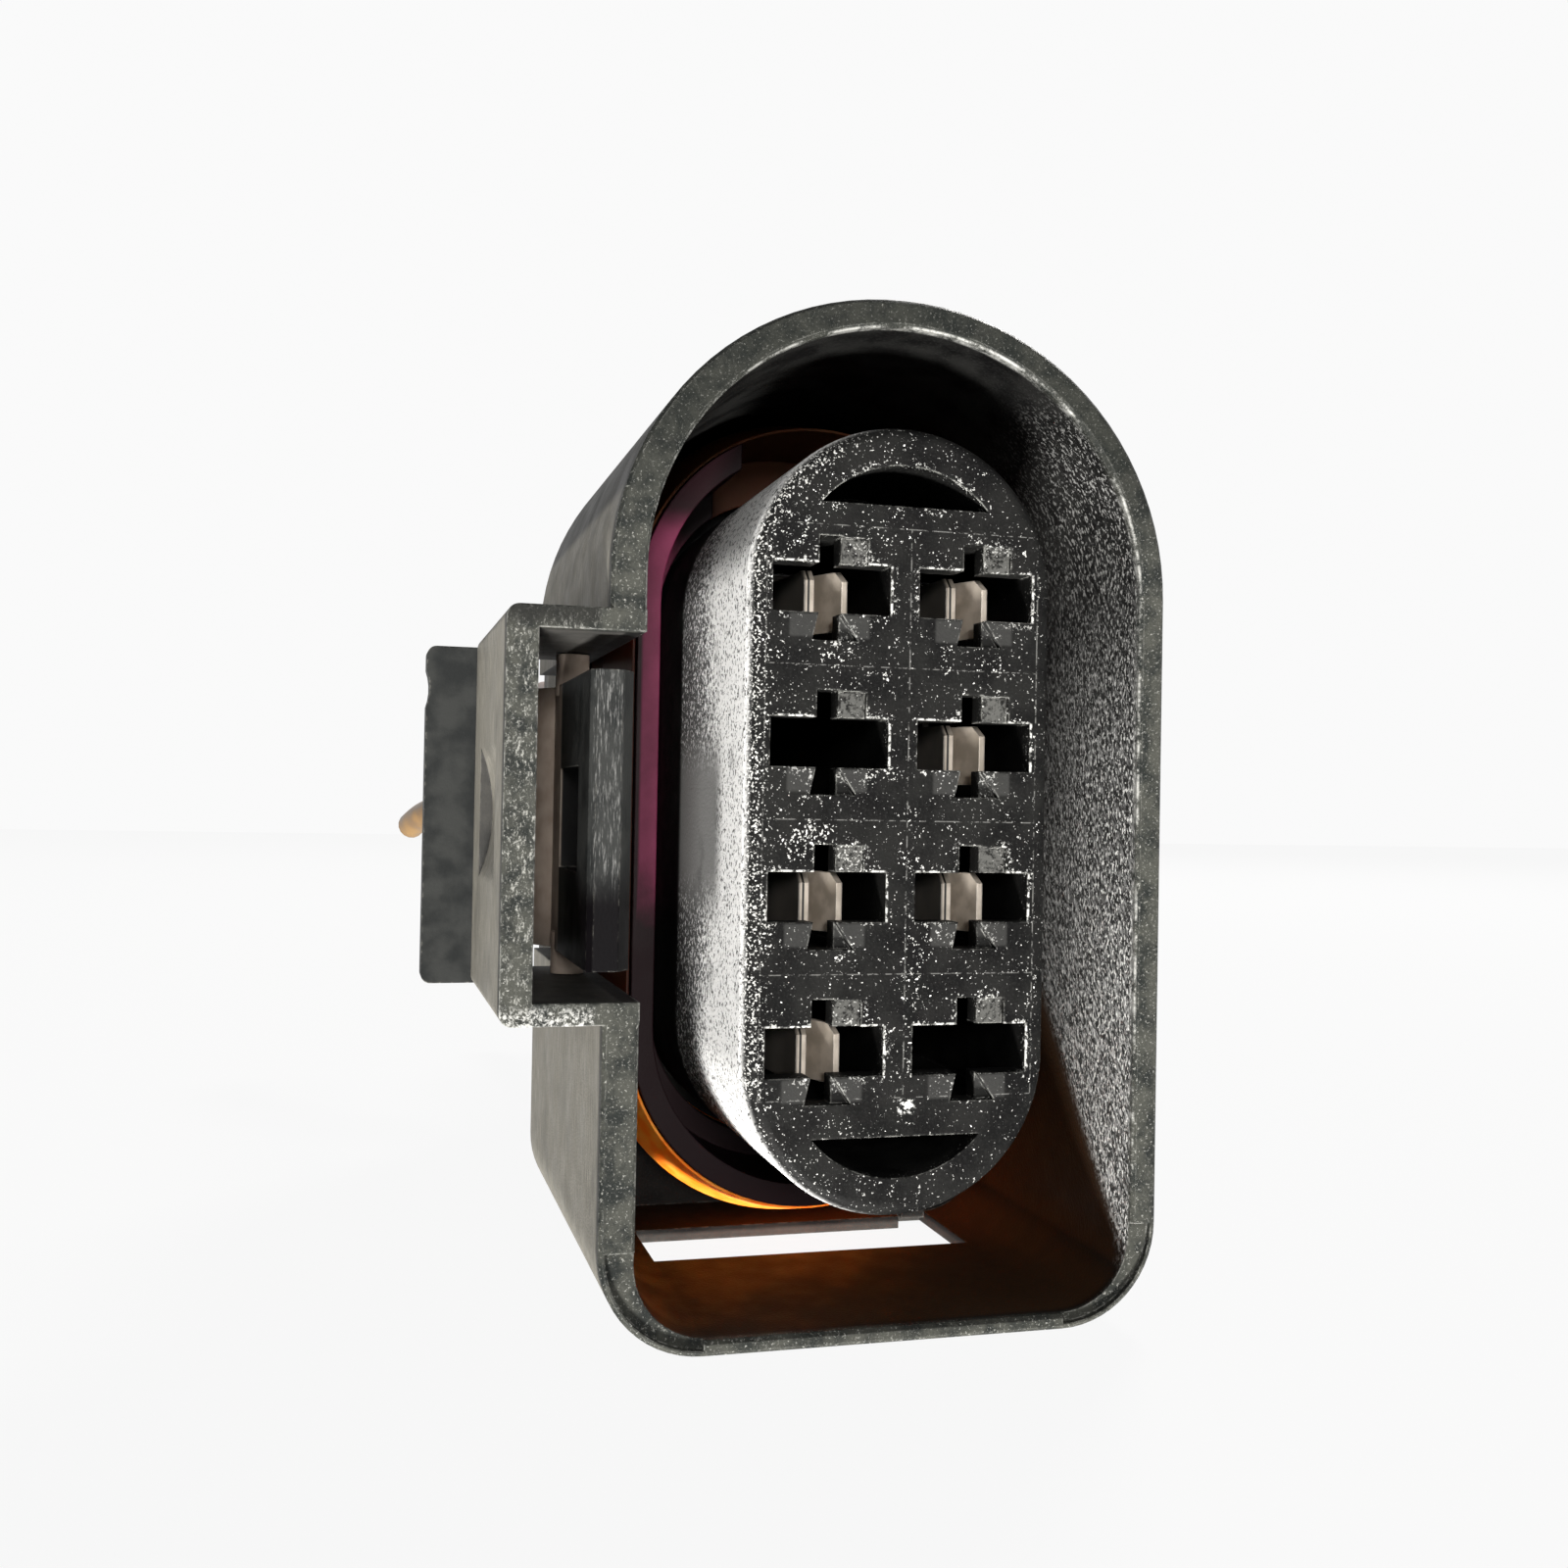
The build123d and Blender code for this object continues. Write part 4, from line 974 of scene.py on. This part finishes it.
DRESSES = [
    ("housing", black, "black_moulding"),
    ("latch_lever", lever_black, "black_moulding"),
    ("secondary_lock", violet, "violet_moulding"),
    ("interface_seal", orange, "orange_silicone"),
    ("cavity_plug_1", plug_silicone, "plug_silicone"),
    ("cavity_plug_2", plug_silicone, "plug_silicone"),
]
for number in range(1, 7):
    DRESSES += [
        (f"terminal_{number}", tin, "tinned_contact"),
        (f"spring_cage_{number}", steel, "spring_steel"),
        (f"wire_seal_{number}", seal_silicone, "wire_seal_silicone"),
    ]
for node, material, slot in DRESSES:
    dress(node, f"{node}_surface", material)
print(len(DRESSES), "dressed nodes")

# %% [markdown]
# ## Lead ends
# Inside the plug each lead is straight: insulation through its seal, then bared strands in the
# crimp. At the cut end the strands stand a little proud of the insulation. Both are turned
# profiles, and the strands are one small dome repeated at nineteen places in a hexagon.

# %% Crimped ends and cut strands
STRAND_RADIUS = 0.11
STRAND_STAND = 0.12
STRAND_SUNK = 0.2
STRAND_CHAMFER = 0.04
STRAND_UNEVEN = 0.05
STRIP_START = 14.9
INSULATION_START = 18.6
BARE_END = INSULATION_START + 0.1
BARE_RADIUS = 0.55
SLOT_OF_LEAD = dict(zip(range(1, 7), ("brown", "tan", "black", "brown", "black", "tan")))


def rod(radius, start, end, column, row):
    """Closed round rod along Y in one cavity: the outline of a rectangle turned about its side."""
    profile = [(0, start), (radius, start), (radius, end), (0, end)]
    return turned(profile, COLUMN_X[column], ROW_Z[row])


def strand_places():
    """Nineteen places in a hexagon: whole steps along two directions 60 degrees apart, kept
    where they lie within two steps of the middle."""
    steps = np.array([(a, b) for a in range(-2, 3) for b in range(-2, 3) if abs(a + b) <= 2])
    return steps @ np.array([(1.0, 0.0), (0.5, 0.75**0.5)]) * 2 * STRAND_RADIUS


def cut_strands(end, along):
    """Strand domes at a lead's cut end: one turned dome, set at each place across the lead."""
    along = along / np.linalg.norm(along)
    side = np.cross(along, (0, 0, 1))
    side /= np.linalg.norm(side)
    axes = np.stack([side, along, np.cross(side, along)])
    r = STRAND_RADIUS
    shoulder = STRAND_STAND - STRAND_CHAMFER
    profile = [(0, -STRAND_SUNK), (r, -STRAND_SUNK), (r, shoulder), (0.7 * r, STRAND_STAND)]
    dome = turned([*profile, (0, STRAND_STAND)], sides=10)
    rng = np.random.default_rng(7)
    grids = []
    for u, v in strand_places():
        grids.append(end + (dome + (u, rng.uniform(-STRAND_UNEVEN, STRAND_UNEVEN), v)) @ axes)
    return grids


for number, (lead, (column, row, route)) in enumerate(zip(leads, LEAD_ROUTES), 1):
    slot = f"insulation_{SLOT_OF_LEAD[number]}"
    points = lead_points(column, row, route)
    straight = rod(LEAD_RADIUS, INSULATION_START, SEAL_REAR, column, row)
    inside = skins(f"lead_{number}_inside_seal", [straight])
    bare = rod(BARE_RADIUS, STRIP_START, BARE_END, column, row)
    cut_end = cut_strands(points[-1], points[-1] - points[-2])
    strands = skins(f"lead_{number}_strands", [bare, *cut_end])
    lead.data.materials.append(INSULATION[slot])
    inside.data.materials.append(INSULATION[slot])
    strands.data.materials.append(copper)
    for piece in (lead, inside, strands):
        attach(piece, "connector")
    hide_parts(f"lead_{number}")
print("lead ends made")
